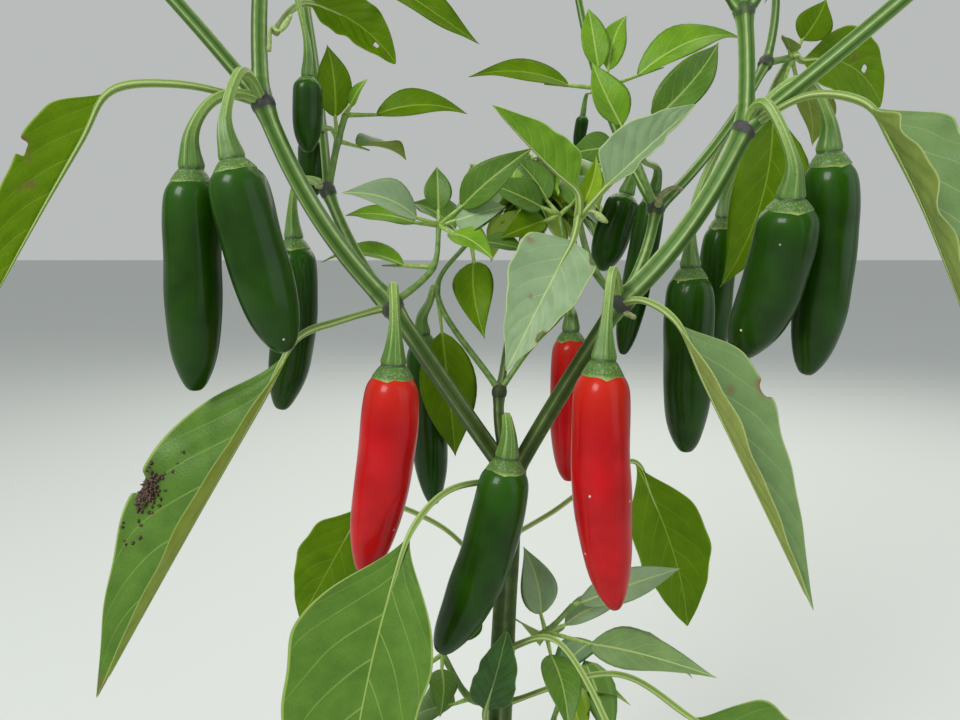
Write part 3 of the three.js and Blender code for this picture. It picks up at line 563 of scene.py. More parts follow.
class MeshParts:
    """Vertices and faces of many small shapes, gathered into one piece."""

    def __init__(self) -> None:
        """Start with nothing."""
        self.points: list[Point] = []
        self.marks: list[Point] = []
        self.faces: list[tuple[int, ...]] = []
        self.finishes: list[int] = []
        self.count = 0

    def add(self, points: Point, faces: Sequence[Sequence[int]], finish: int | Sequence[int] = 0,
            marks: Point | None = None) -> None:
        """Add one shape.

        Args:
            points: its vertices.
            faces: its faces, as vertex numbers within the shape.
            finish: number of its material, or one for each face.
            marks: four values a vertex, which the materials read.
        """
        offset = self.count
        self.points.append(points)
        self.marks.append(np.zeros((len(points), 4)) if marks is None else marks)
        self.faces.extend(tuple(corner + offset for corner in face) for face in faces)
        self.finishes.extend([finish] * len(faces) if isinstance(finish, int) else finish)
        self.count += len(points)

    def object(self, name: str, materials: Sequence[Material]) -> Piece:
        """Make the piece.

        Args:
            name: the piece's name.
            materials: its materials, in the order of their numbers.

        Returns:
            The new object, with its place in its mesh.
        """
        mesh = bpy.data.meshes.new(name)
        mesh.from_pydata((np.vstack(self.points) * MM).tolist(), [], self.faces)
        for material in materials:
            mesh.materials.append(material)
        mesh.polygons.foreach_set("material_index", self.finishes)
        mesh.polygons.foreach_set("use_smooth", [True] * len(self.faces))
        set_marks(mesh, np.vstack(self.marks))
        mesh.update()
        piece = bpy.data.objects.new(name, mesh)
        bpy.context.scene.collection.objects.link(piece)
        return piece


def set_marks(mesh: bpy.types.Mesh, marks: Point) -> None:
    """Give a mesh the attribute that its materials read: four values a vertex."""
    layer = mesh.attributes.new("marks", "FLOAT_COLOR", "POINT")
    layer.data.foreach_set("color", np.asarray(marks, np.float32).ravel())


def coords(piece: Piece) -> Point:
    """A piece's vertices.

    Args:
        piece: the piece.

    Returns:
        Their places in millimetres.
    """
    flat = np.empty(len(piece.data.vertices) * 3)
    piece.data.vertices.foreach_get("co", flat)
    return flat.reshape(-1, 3) / MM


def set_coords(piece: Piece, points: Point) -> None:
    """Put a piece's vertices at places in millimetres."""
    piece.data.vertices.foreach_set("co", (points * MM).ravel())
    piece.data.update()


def tube(points: Point, radii: Sequence[float], sides: int, groove: float = 0.0) -> Shape:
    """A small closed tube along a line.

    Args:
        points: the line.
        radii: radius at each point.
        sides: number of sides.
        groove: share by which every other side is drawn in.

    Returns:
        Its vertices and faces.
    """
    along = directions(points)
    sideways = any_sideways(along[0])
    rings = []
    angles = np.arange(sides) * 2 * math.pi / sides
    form = np.where(np.arange(sides) % 2 == 1, 1 - groove, 1.0)
    for point, direction, radius in zip(points, along, radii):
        sideways = unit(sideways - direction * sideways.dot(direction))
        across = np.cross(direction, sideways)
        rings.append(point + radius * form[:, None] * (np.cos(angles)[:, None] * sideways
                                                       + np.sin(angles)[:, None] * across))
    last = (len(points) - 1) * sides
    faces = [(r + s, r + (s + 1) % sides, r + sides + (s + 1) % sides, r + sides + s)
             for r in range(0, last, sides) for s in range(sides)]
    faces += [tuple(reversed(range(sides))), tuple(range(last, last + sides))]
    return np.vstack(rings), faces


def deselect() -> None:
    """Leave nothing selected, so that an operator acts only on what comes next."""
    bpy.ops.object.select_all(action="DESELECT")


def apply_modifiers(piece: Piece) -> None:
    """Apply every modifier of a piece, first to last.

    Args:
        piece: the piece.
    """
    bpy.context.view_layer.objects.active = piece
    for modifier in list(piece.modifiers):
        bpy.ops.object.modifier_apply(modifier=modifier.name)


def hand_loft(name: str, line: Point, radii: Sequence[float], sides: int, ridge: float = 1.0,
              first: Point | None = None) -> Piece:
    """A closed skin along a line, drawn from a circle by extruding it ring after ring.

    Args:
        name: the piece's name.
        line: middle of each ring.
        radii: radius of each ring.
        sides: number of corners of a ring.
        ridge: every other corner's radius as a share of the rest, for a ribbed section.
        first: the way that the first ring faces, where it isn't the line's.

    Returns:
        The piece, whose corners are stored ring by ring.
    """
    along = [Vector(d) for d in directions(line)]
    if first is not None:
        along[0] = Vector(first)
    deselect()
    bpy.ops.mesh.primitive_circle_add(vertices=sides, radius=radii[0] * MM, fill_type="NGON",
                                      location=Vector(line[0]) * MM,
                                      rotation=along[0].to_track_quat("Z", "X").to_euler())
    piece = bpy.context.object
    piece.name = piece.data.name = name
    bpy.ops.object.transform_apply(location=True, rotation=True, scale=True)
    for corner in list(piece.data.vertices)[1::2]:
        corner.co = Vector(line[0]) * MM + (corner.co - Vector(line[0]) * MM) * ridge
    bpy.ops.object.mode_set(mode="EDIT")
    bpy.ops.mesh.select_all(action="SELECT")
    for k in range(1, len(line)):
        centre = Vector(line[k]) * MM
        step = Vector(line[k] - line[k - 1]) * MM
        bpy.ops.mesh.extrude_region_move(TRANSFORM_OT_translate={"value": step})
        turn = along[k - 1].rotation_difference(along[k]).to_euler("XYZ")
        for axis, angle in zip("XYZ", turn):
            if abs(angle) > 1e-4:
                bpy.ops.transform.rotate(value=-angle, orient_axis=axis, center_override=centre)
        share = radii[k] / radii[k - 1]
        bpy.ops.transform.resize(value=(share, share, share), center_override=centre)
    bpy.ops.object.mode_set(mode="OBJECT")
    return piece


def ring_uv(piece: Piece, line: Point, sides: int) -> None:
    """Give a loft a UV map: round it in U, and along it in V, both in tenths of a metre.

    Args:
        piece: a loft whose corners are stored ring by ring.
        line: middle of each ring.
        sides: number of corners of a ring.
    """
    mesh = piece.data
    run = lengths(line)
    layer = mesh.uv_layers.new(name="skin")
    for face in mesh.polygons:
        turns = [mesh.loops[i].vertex_index % sides for i in face.loop_indices]
        wraps = max(turns) - min(turns) > sides / 2
        for loop, turn in zip(face.loop_indices, turns):
            share = (turn + sides if wraps and turn < sides / 2 else turn) / sides
            layer.data[loop].uv = share, run[mesh.loops[loop].vertex_index // sides] / 100


def subdivide(piece: Piece, levels: int) -> None:
    """Smooth a piece with a Subdivision Surface modifier, applied after any that it has.

    Args:
        piece: the piece.
        levels: how many times each face is split in four.
    """
    modifier = piece.modifiers.new("Smooth", "SUBSURF")
    modifier.levels = modifier.render_levels = levels
    apply_modifiers(piece)
    piece.data.polygons.foreach_set("use_smooth", [True] * len(piece.data.polygons))


def section_loss(sides: int) -> float:
    """Return by how much smoothing draws in a ring of that many corners."""
    return (4 + 2 * math.cos(2 * math.pi / sides)) / 6


def dress(piece: Piece, slot: str | None, *nodes: str) -> Piece:
    """Tie a finished piece to the plant.

    Args:
        piece: the piece.
        slot: the material slot that it would take its finish from; not used.
        nodes: the solids that it stands for.

    Returns:
        The piece.
    """
    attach(piece, BODY)
    if nodes:
        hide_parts(*nodes)
    log.info("%s: %d faces", piece.name, len(piece.data.polygons))
    return piece


# Finishes


def linear(colour: str) -> tuple[float, float, float, float]:
    """Turn an sRGB hex colour into linear values.

    Args:
        colour: six hex digits.

    Returns:
        Red, green, blue and a full alpha.
    """
    shares = [int(colour[i:i + 2], 16) / 255 for i in (0, 2, 4)]
    red, green, blue = (s / 12.92 if s <= 0.04045 else ((s + 0.055) / 1.055) ** 2.4 for s in shares)
    return red, green, blue, 1.0


# What these kinds of node do is chosen by one setting
MAIN_CHOICE = {"Math": "operation", "Mix": "data_type", "MapRange": "interpolation_type"}


class Graph:
    """A material's nodes while they are laid out."""

    def __init__(self, name: str) -> None:
        """Start a material with nothing but its output.

        Args:
            name: its name.
        """
        self.material = bpy.data.materials.new(name)
        self.material.use_nodes = True
        self.tree = self.material.node_tree
        for node in [n for n in self.tree.nodes if n.type != "OUTPUT_MATERIAL"]:
            self.tree.nodes.remove(node)

    def put(self, kind: str, sockets: dict | Sequence = (), stops: Sequence[tuple[float, str]] = (),
            **settings: object) -> Node:
        """Add a node with its settings and links.

        Args:
            kind: the node's type, without the words ShaderNode, and after a dot its choice in MAIN_CHOICE.
            sockets: its inputs in order, or by name or number, each a value, a hex colour, or the output
                or node that feeds it.
            stops: the places and hex colours of a colour ramp.
            settings: its properties.

        Returns:
            The node.
        """
        kind, _, choice = kind.partition(".")
        node = self.tree.nodes.new("ShaderNode" + kind)
        if choice:
            settings[MAIN_CHOICE[kind]] = choice
        for key, value in settings.items():
            setattr(node, key, value)
        for key, value in sockets.items() if isinstance(sockets, dict) else enumerate(sockets):
            if isinstance(value, Node):
                value = next(output for output in value.outputs if output.enabled)
            if isinstance(value, Socket):
                self.tree.links.new(value, node.inputs[key])
            else:
                node.inputs[key].default_value = linear(value) if isinstance(value, str) else value
        for _ in stops[2:]:
            node.color_ramp.elements.new(0.5)
        for element, (place, colour) in zip(node.color_ramp.elements if stops else (), stops):
            element.position = place
            element.color = linear(colour)
        return node

    def marks(self) -> list[Socket]:
        """Return the four values that the piece carries at a point."""
        marks = self.put("Attribute", attribute_name="marks")
        return [*self.put("SeparateColor", [marks.outputs["Color"]]).outputs, marks.outputs["Alpha"]]

    def shade(self, colour: Node, relief: Node, depth: float, strength: float,
              gloss: dict[str, float]) -> Node:
        """Add a shader over a relief.

        Args:
            colour: what gives the colour.
            relief: what gives the height, from 0 to 1.
            depth: the relief's depth in metres.
            strength: how far the relief shows.
            gloss: the shader's other values by name.

        Returns:
            The shader.
        """
        bump = self.put("Bump", {"Height": relief, "Distance": depth, "Strength": strength})
        return self.put("BsdfPrincipled", {"Base Color": colour, "Normal": bump, **gloss})

    def close(self, shader: Node) -> Material:
        """Link the last shader to the output.

        Args:
            shader: the shader's node.

        Returns:
            The material.
        """
        output = next(n for n in self.tree.nodes if n.type == "OUTPUT_MATERIAL")
        self.tree.links.new(shader.outputs[0], output.inputs["Surface"])
        return self.material


@dataclass(frozen=True)
class StemSkin:
    """Living green stem of a soft-wooded plant: flat waxy sides between ribs with thin pale crests.

    The crotches are stained purple in patches; the trunk and boughs darken to olive, partly older wood,
    partly painted shade.
    Satin to the eye, with long fine streaks.
    """

    name: str = "stem_skin"
    crest: str = "A2B680"
    high: str = "648738"
    flank: str = "52762A"
    valley: str = "39581C"
    joint: str = "482852"
    old: str = "2E3812"

    def material(self) -> Material:
        """Build the material.

        The pieces' marks are rib height, joint, and the low wood's darkening, partly age and partly painted
        shade.

        Returns:
            The material.
        """
        graph = Graph(self.name)
        put = graph.put
        place = put("TexCoord").outputs["Object"]
        rib, joint, age_and_shade, _ = graph.marks()
        uv = put("UVMap", uv_map="skin")
        # streaks 0.6 mm wide round the stem and some 30 mm long
        long_way = put("Mapping", {"Vector": uv, "Scale": (44.0, 3.4, 1.0)})
        streaks = put("TexNoise", {"Vector": long_way, "Scale": 1.0, "Detail": 3.0})
        shift = put("Math.MULTIPLY_ADD", (streaks, 0.5, -0.24))
        height = put("Math.ADD", (rib, shift))
        green = put("ValToRGB", (height,), ((0.02, self.valley), (0.3, self.flank), (0.78, self.high),
                                            (1.0, self.crest)))
        # the stain's patches are some 10 mm across
        patches = put("TexNoise", {"Vector": place, "Scale": 95.0, "Detail": 4.0})
        spots = put("Math.MULTIPLY_ADD", (patches, 1.4, -0.7))
        stain = put("Math.ADD", (joint, spots))
        stained = put("MapRange.SMOOTHSTEP", (stain, 0.6, 1.15, 0.0, 0.7))
        crotch = put("Mix.RGBA", {0: stained, 6: green, 7: self.joint})
        # the low wood darkens in blotches some 4 mm across, partly older wood and partly painted shade
        mottle = put("TexNoise", {"Vector": place, "Scale": 260.0, "Detail": 4.0})
        spread = put("Math.MULTIPLY_ADD", (mottle, 0.7, 0.3))
        aged_and_shaded = put("Math.MULTIPLY", (age_and_shade, spread))
        colour = put("Mix.RGBA", {0: aged_and_shaded, 6: crotch, 7: self.old})
        # pores and hair-fine ridges of 0.1 mm
        fine = put("Mapping", {"Vector": uv, "Scale": (150.0, 30.0, 1.0)})
        grain = put("TexNoise", {"Vector": fine, "Scale": 1.0, "Detail": 2.0})
        gloss = {"Roughness": 0.54, "Specular IOR Level": 0.3}
        return graph.close(graph.shade(colour, grain, 0.0003, 0.35, gloss))


@dataclass(frozen=True)
class StalkSkin:
    """Pod stalk and calyx: pale waxy green, flecked along its length, rough and dull on the calyx."""

    name: str = "pod_stalk_skin"
    ridge: str = "A8BC78"
    pale: str = "7C9C44"
    green: str = "4C7420"
    cap: str = "4C7026"
    groove: str = "22401A"
    fleck: str = "98AC70"
    rim: str = "9DB05A"

    def material(self) -> Material:
        """Build the material.

        The pieces' marks are rib or rim, nearness to the pod, calyx and pinch.

        Returns:
            The material.
        """
        graph = Graph(self.name)
        put = graph.put
        place = put("TexCoord").outputs["Object"]
        rib, nearness, calyx, pinch = graph.marks()
        long_way = put("Mapping", {"Vector": put("UVMap", uv_map="skin"), "Scale": (48.0, 5.0, 1.0)})
        streaks = put("TexNoise", {"Vector": long_way, "Scale": 1.0, "Detail": 4.0})
        wander = put("Math.MULTIPLY_ADD", (streaks, -0.5, 0.25))
        share = put("Math.ADD", (nearness, wander))
        green = put("ValToRGB", (share,), ((0.0, self.pale), (0.8, self.green)))
        # the ribs' crests are pale lines that fade towards the pod
        crest = put("MapRange.SMOOTHSTEP", (rib, 0.55, 0.95))
        fading = put("Math.MULTIPLY_ADD", (nearness, -0.75, 0.9))
        drawn = put("Math.MULTIPLY", (crest, fading))
        ribbed = put("Mix.RGBA", {0: drawn, 6: green, 7: self.ridge})
        # hair-fine pale lines between them
        hair = put("MapRange", (streaks, 0.52, 0.66, 0.0, 0.3))
        lined = put("Mix.RGBA", {0: hair, 6: ribbed, 7: self.ridge})
        # flecks and corky specks of 0.4 mm
        specks = put("TexNoise", {"Vector": place, "Scale": 1200.0, "Detail": 3.0})
        bright = put("MapRange.SMOOTHSTEP", (specks, 0.52, 0.7, 0.0, 0.55))
        dark = put("MapRange.SMOOTHSTEP", (specks, 0.4, 0.31, 0.0, 0.5))
        cap = put("Mix.RGBA", {0: bright, 6: self.cap, 7: self.fleck})
        rimmed = put("Mix.RGBA", {0: rib, 6: cap, 7: self.rim})
        body = put("Mix.RGBA", {0: calyx, 6: lined, 7: rimmed})
        flecked = put("Mix.RGBA", {0: dark, 6: body, 7: self.groove})
        pinched = put("Math.MULTIPLY", (pinch, 0.95))
        colour = put("Mix.RGBA", {0: pinched, 6: flecked, 7: self.groove})
        relief = put("Math.MULTIPLY", (specks, calyx))
        return graph.close(graph.shade(colour, relief, 0.0006, 0.6, {"Roughness": 0.44}))


@dataclass(frozen=True)
class PodSkin:
    """Pepper skin: a smooth waxy cuticle over firm flesh, glossy as varnish, with a few dry scuffs."""

    name: str
    body: str
    shade: str
    lit_shoulder: str
    scuff: str = "D8CFC4"

    def material(self) -> Material:
        """Build the material.

        The pieces' mark is nearness to the calyx, where the skin is painted lighter as light on the pod's
        shoulder.

        Returns:
            The material.
        """
        graph = Graph(self.name)
        put = graph.put
        place = put("TexCoord").outputs["Object"]
        # broad clouds of colour, some 12 mm across
        clouds = put("TexNoise", {"Vector": place, "Scale": 85.0, "Detail": 2.0})
        skin = put("ValToRGB", (clouds,), ((0.36, self.shade), (0.64, self.body)))
        # painted light: the skin turns lighter towards the calyx, as if lit on the pod's shoulder
        top = put("Mix.RGBA", {0: graph.marks()[0], 6: skin, 7: self.lit_shoulder})
        # dry specks under a millimetre, sparse
        specks = put("TexVoronoi", {"Vector": place, "Scale": 130.0})
        dot = put("MapRange.SMOOTHSTEP", (specks, 0.075, 0.03))
        chosen = put("SeparateColor", (specks.outputs["Color"],))
        few = put("Math.GREATER_THAN", (chosen, 0.8))
        seen = put("Math.MULTIPLY", (dot, few))
        colour = put("Mix.RGBA", {0: seen, 6: top, 7: self.scuff})
        # the cuticle's slow waves break up the reflections
        waves = put("TexNoise", {"Vector": place, "Scale": 170.0, "Detail": 2.0})
        return graph.close(graph.shade(colour, waves, 0.001, 0.2, {
            "Roughness": 0.4, "Specular IOR Level": 0.08, "Coat Weight": 0.42, "Coat Roughness": 0.17,
            "Coat IOR": 1.4}))


@dataclass(frozen=True)
class BladeSkin:
    """Chilli leaf: a thin semi-gloss blade that light shines through, with pale midrib, veins and edge."""

    name: str
    upper: str
    shade: str
    vein: str
    glow: str
    roughness: float = 0.42
    through: float = 0.3
    gloss: float = 0.15
    scar: str = "8C6B45"

    def veins(self, graph: Graph) -> tuple[Node, Socket]:
        """Draw midrib, side veins and edge from the marks.

        Args:
            graph: the material's nodes. Marks: across (-1 to 1), along, scar, half width in decimetres.

        Returns:
            The mask of what is pale, and the mask of the scars.
        """
        put = graph.put
        across, along, scar, half = graph.marks()
        out = put("Math.ABSOLUTE", (across,))
        reach = put("Math.MULTIPLY", (out, half))
        # a midrib 1.2 mm wide at the foot, and a third of that near the tip
        rib_width = put("Math.MULTIPLY_ADD", (along, -0.0038, 0.006))
        rib_edge = put("Math.MULTIPLY", (rib_width, 0.45))
        rib = put("MapRange.SMOOTHSTEP", (reach, rib_width, rib_edge))
        # side veins leave the midrib in turn, seven to a side, and sweep towards the tip
        side = put("Math.GREATER_THAN", (across, 0.0))
        square = put("Math.MULTIPLY", (out, out))
        lag = put("Math.MULTIPLY_ADD", (out, -VEIN_LAG, along))
        swept = put("Math.MULTIPLY_ADD", (square, -VEIN_SWEEP, lag))
        staggered = put("Math.MULTIPLY_ADD", (side, VEIN_STAGGER, swept))
        counted = put("Math.MULTIPLY", (staggered, float(VEINS)))
        nearest = put("Math.FRACT", (counted,))
        offset = put("Math.SUBTRACT", (nearest, 0.5))
        distance = put("Math.ABSOLUTE", (offset,))
        fades = put("Math.MULTIPLY_ADD", (out, -0.4, 0.58))
        line = put("MapRange.SMOOTHSTEP", (distance, 0.04, 0.008, 0.0, fades))
        edge = put("MapRange.SMOOTHSTEP", (out, 0.955, 0.99, 0.0, 0.85))
        both = put("Math.MAXIMUM", (rib, line))
        return put("Math.MAXIMUM", (both, edge)), scar

    def material(self) -> Material:
        """Build the material.

        Returns:
            The material.
        """
        graph = Graph(self.name)
        put = graph.put
        place = put("TexCoord").outputs["Object"]
        clouds = put("TexNoise", {"Vector": place, "Scale": 110.0, "Detail": 4.0})
        blade = put("ValToRGB", (clouds,), ((0.34, self.shade), (0.66, self.upper)))
        # the net of small veins, cells of 1.4 mm
        net = put("TexVoronoi", {"Vector": place, "Scale": 700.0}, feature="DISTANCE_TO_EDGE")
        mesh = put("MapRange.SMOOTHSTEP", (net, 0.12, 0.02, 0.0, 0.05))
        netted = put("Mix.RGBA", {0: mesh, 6: blade, 7: self.vein})
        pale, scar = self.veins(graph)
        drawn = put("Mix.RGBA", {0: pale, 6: netted, 7: self.vein})
        colour = put("Mix.RGBA", {0: scar, 6: drawn, 7: self.scar})
        height = put("Math.MULTIPLY_ADD", (pale, -0.8, net))
        front = graph.shade(colour, height, 0.0006, 0.2, {
            "Roughness": self.roughness, "Specular IOR Level": self.gloss})
        warm = put("Mix.RGBA", {0: 1.0, 6: colour, 7: self.glow}, blend_type="MULTIPLY")
        lit = put("BsdfTranslucent", {"Color": warm})
        return graph.close(put("MixShader", (self.through, front, lit)))


@dataclass(frozen=True)
class PlainSkin:
    """A plain soft plant tissue, such as a bud, a leaf's stalk or a dry crumb, with a slight mottle."""

    name: str
    colour: str
    shade: str
    roughness: float = 0.5
    scale: float = 700.0

    def material(self) -> Material:
        """Build the material.

        Returns:
            The material.
        """
        graph = Graph(self.name)
        place = graph.put("TexCoord").outputs["Object"]
        mottle = graph.put("TexNoise", {"Vector": place, "Scale": self.scale, "Detail": 2.0})
        colour = graph.put("ValToRGB", (mottle,), ((0.36, self.shade), (0.62, self.colour)))
        return graph.close(graph.shade(colour, mottle, 0.0003, 0.3, {"Roughness": self.roughness}))


# Each tone's colours and gloss: the blade's, its shade, its veins, what shines through, and the rest
UPPER = {tone: BladeSkin(f"leaf_{tone.value}", *row) for tone, row in zip(Tone, (
    ("3C6E24", "325C1C", "7E9C50", "C8E070", 0.42, 0.3, 0.4),
    ("638D2D", "547D24", "A6C062", "CFE56A", 0.42, 0.3, 0.35),
    ("82B225", "6FA01C", "BAD274", "D8EE70", 0.42, 0.3, 0.25),
    ("789C08", "689004", "A2BC3E", "DDF05A", 0.45, 0.45, 0.15),
    # grey: the pale upper colours are partly painted sheen of reflected light
    ("95B082", "88A478", "BCCE84", "C8E080", 0.5, 0.2, 0.5),
    ("A0C41A", "8CB010", "C8DA60", "E8F880", 0.42, 0.4, 0.2),
    # soft: the greyer upper colours paint a milder sheen of reflected light
    ("7C9C5C", "708F54", "B0C47C", "C8E080", 0.5, 0.2, 0.4),
))}
UNDER = {tone: BladeSkin(f"leaf_under_{tone.value}", *row) for tone, row in zip(Tone, (
    ("547634", "466628", "98AE66", "C8E070", 0.6),
    ("9EB143", "8CA036", "C2CE7C", "CFE56A", 0.6),
    ("9AB840", "88A836", "C4D488", "D8EE70", 0.6),
    ("82A00C", "729006", "B2C650", "DDF05A", 0.6, 0.45),
    ("9DB250", "8CA446", "C0CC7C", "C8E080", 0.6, 0.3),
    ("AECA34", "9EBA2C", "CEDC78", "E8F880", 0.6, 0.4),
    ("B0C466", "A0B458", "C6D284", "D0E270", 0.6),
))}

STEM_SKIN = StemSkin().material()
LEAFSTALK_SKIN = StemSkin("ribbed_leafstalk_skin", "C6D29C", "9EB264", "86A04E", "64803A").material()
STALK_SKIN = StalkSkin().material()
PETIOLE_SKIN = PlainSkin("leafstalk_skin", "9DB95A", "7F9E44", 0.45).material()
TWIG_SKIN = PlainSkin("twig_skin", "6F9040", "55762F", 0.5, 400.0).material()
YOUNG_POD_SKIN = PlainSkin("young_pod_skin", "2A5719", "224A14", 0.25, 60.0).material()
POD_SKINS = {
    Ripeness.RED: PodSkin("ripe_pod_skin", "B80C14", "A6090F", "C2260E").material(),
    Ripeness.GREEN: PodSkin("green_pod_skin", "1C4000", "163400", "285606").material(),
}
TWIGLET_SKINS = {
    "bud": PlainSkin("bud_skin", "A9BC76", "8A9C58", 0.55, 900.0).material(),
    "stub": PlainSkin("stub_skin", "A8AC78", "86885A", 0.7, 900.0).material(),
    "crumb": PlainSkin("dropping_skin", "6E5848", "33271F", 0.85, 1400.0).material(),
}
BLADES = {tone: (UPPER[tone].material(), UNDER[tone].material()) for tone in Tone}
PLAIN_BLADES = {tone: tuple(PlainSkin(f"mass_{tone.value}_{side}", colour, colour, rough).material()
                            for side, colour, rough in (("upper", UPPER[tone].upper, 0.42),
                                                        ("under", UNDER[tone].upper, 0.6),
                                                        ("midrib", UPPER[tone].vein, 0.5))) for tone in Tone}


# The plant's parts


@dataclass
class Framework:
    """Stem and limbs: ribbed green shoots, swollen at their joints, with soft webs where they fork."""

    skeleton: Skeleton
    sides: int = 10
    stem_sides: int = 12
    ring_step: float = 5.0
    valley: float = 0.76
    joint_swell: float = 0.05
    joint_reach: float = 5.5
    web: float = 5.0
    dome: float = 0.9
    # between these heights the wood darkens downwards to olive: partly older wood, partly painted shade under
    # the foliage
    old_and_shaded_below: float = 325.0
    green_above: float = 395.0
    stem_nodes: tuple[float, ...] = (128, 150, 205, 222, 228, 262, 270)
    skins: list[tuple[Piece, Point, np.ndarray]] = field(default_factory=list)

    def build(self) -> None:
        """Build the stem and every limb, then web the forks."""
        skeleton = self.skeleton
        heights = skeleton.stem[:, 2]
        taper = STEM_RADIUS + (STEM_TOP_RADIUS - STEM_RADIUS) * heights / FORK_HEIGHT
        flare = (STEM_FOOT_RADIUS - STEM_RADIUS) * np.maximum(0, 1 - heights / FLARE_HEIGHT) ** 2
        skeleton.block_line(skeleton.stem, taper + flare)
        line = bent_line(skeleton.forks["ground"], skeleton.forks["main"], vec((STEM_BOW, 0, 0)),
                         round(FORK_HEIGHT / self.ring_step))
        radii = np.interp(line[:, 2], heights, taper)
        radii += (STEM_FOOT_RADIUS - STEM_RADIUS) * np.maximum(0, 1 - line[:, 2] / FLARE_HEIGHT) ** 2
        for height in self.stem_nodes:
            radii *= 1 + 0.6 * self.joint_swell * np.exp(-((line[:, 2] - height) / self.joint_reach) ** 2)
        self.limb("main_stem", line, radii, self.stem_sides, vec((0, 0, 1)))
        for limb in LIMBS:
            a, b = skeleton.forks[limb.start], skeleton.forks[limb.end]
            steps = max(3, round(norm(b - a) / LIMB_STEP))
            coarse = bent_line(a, b, vec(limb.bow), steps)
            skeleton.block_line(coarse, np.linspace(limb.start_radius, limb.end_radius, steps + 1))
            steps = round(norm(b - a) / self.ring_step)
            line = bent_line(a, b, vec(limb.bow), steps)
            run = lengths(line)
            radii = np.linspace(limb.start_radius, limb.end_radius, steps + 1)
            radii *= 1 + self.joint_swell * (np.exp(-(run / self.joint_reach) ** 2)
                                             + np.exp(-((run[-1] - run) / self.joint_reach) ** 2))
            self.limb(limb.name, line, radii, self.sides)
        self.web_forks()
        for piece, line, radii in self.skins:
            dress(piece, "stem", piece.name.removesuffix("_skin"))

    def limb(self, name: str, line: Point, radii: np.ndarray, sides: int, first: Point | None = None) -> None:
        """Build one limb with its ribs, marks and finish.

        Args:
            name: the limb's node.
            line: its middle.
            radii: its mean radius along the line.
            sides: corners of its section, every other one a rib.
            first: the way that its first ring faces.
        """
        along = directions(line)
        reach = self.dome * radii[-1]
        points, outer = np.vstack([line, line[-1] + along[-1] * reach]), np.append(radii, 0.7 * radii[-1])
        if name != "main_stem":
            reach = self.dome * radii[0]
            points = np.vstack([line[0] - along[0] * reach, points])
            outer = np.insert(outer, 0, 0.7 * radii[0])
        outer = outer / self.mean_share(sides)
        piece = hand_loft(name + "_skin", points, outer, sides, self.valley, first)
        ring_uv(piece, points, sides)
        subdivide(piece, 2)
        points = coords(piece)
        height = self.nearest(points, line, radii)[1]
        low, high = self.relief(sides)
        rib = np.clip((height - low) / (high - low), 0, 1)
        ends = np.abs((line[-1] - points) @ along[-1])
        if name != "main_stem":
            ends = np.minimum(ends, np.abs((points - line[0]) @ along[0]))
        joint = np.exp(-(ends / self.joint_reach) ** 2)
        for node in self.stem_nodes if name == "main_stem" else ():
            joint = np.maximum(joint, 0.8 * np.exp(-((points[:, 2] - node) / 4.0) ** 2))
        # the lower the wood, the darker it is painted: partly its age, partly painted shade under the foliage
        age_and_shade = smoothstep(self.green_above, self.old_and_shaded_below, points[:, 2])
        set_marks(piece.data, np.stack([rib, joint, age_and_shade, age_and_shade], 1))
        piece.data.materials.append(STEM_SKIN)
        self.skins.append((piece, line, radii))

    def mean_share(self, sides: int) -> float:
        """Return a smoothed ribbed ring's mean radius as a share of its crests' before smoothing."""
        return (1 + self.valley) / 2 * section_loss(sides)

    def relief(self, sides: int) -> tuple[float, float]:
        """How far crests and valleys stand out after smoothing.

        Args:
            sides: number of corners of a ring.

        Returns:
            The valleys' and the crests' radius as shares of the mean.
        """
        cosine = math.cos(2 * math.pi / sides)
        mean = 6 * self.mean_share(sides)
        return (4 * self.valley + 2 * cosine) / mean, (4 + 2 * self.valley * cosine) / mean

    @staticmethod
    def nearest(points: Point, line: Point, radii: np.ndarray) -> tuple[np.ndarray, np.ndarray]:
        """Find each vertex's ring.

        Args:
            points: the vertices.
            line: the limb's middle.
            radii: its radii.

        Returns:
            The number of the nearest ring, and the distance from the line in radii.
        """
        gaps = norm(points[:, None] - line[None], axis=2)
        ring = gaps.argmin(1)
        along = directions(line)[ring]
        offset = points - line[ring]
        across = offset - (offset * along).sum(1, keepdims=True) * along
        return ring, norm(across, axis=1) / radii[ring]

    def web_forks(self) -> None:
        """Swell each limb where another grows out of it, so that the two run together."""
        pushed = []
        for piece, line, radii in self.skins:
            points = coords(piece)
            ring, _ = self.nearest(points, line, radii)
            out = unit(points - line[ring])
            push = np.zeros(len(points))
            for other, other_line, other_radii in self.skins:
                apart = norm(other_line[:, None] - line[None], axis=2).min()
                if other is piece or apart > self.web:
                    continue
                gaps = norm(points[:, None] - other_line[None], axis=2)
                near = gaps.argmin(1)
                depth = gaps.min(1) - other_radii[near]
                share = np.maximum(self.web - np.abs(depth), 0) / self.web
                push = np.maximum(push, share ** 2 * self.web / 4)
            pushed.append(points + out * push[:, None])
        for (piece, _, _), points in zip(self.skins, pushed):
            set_coords(piece, points)


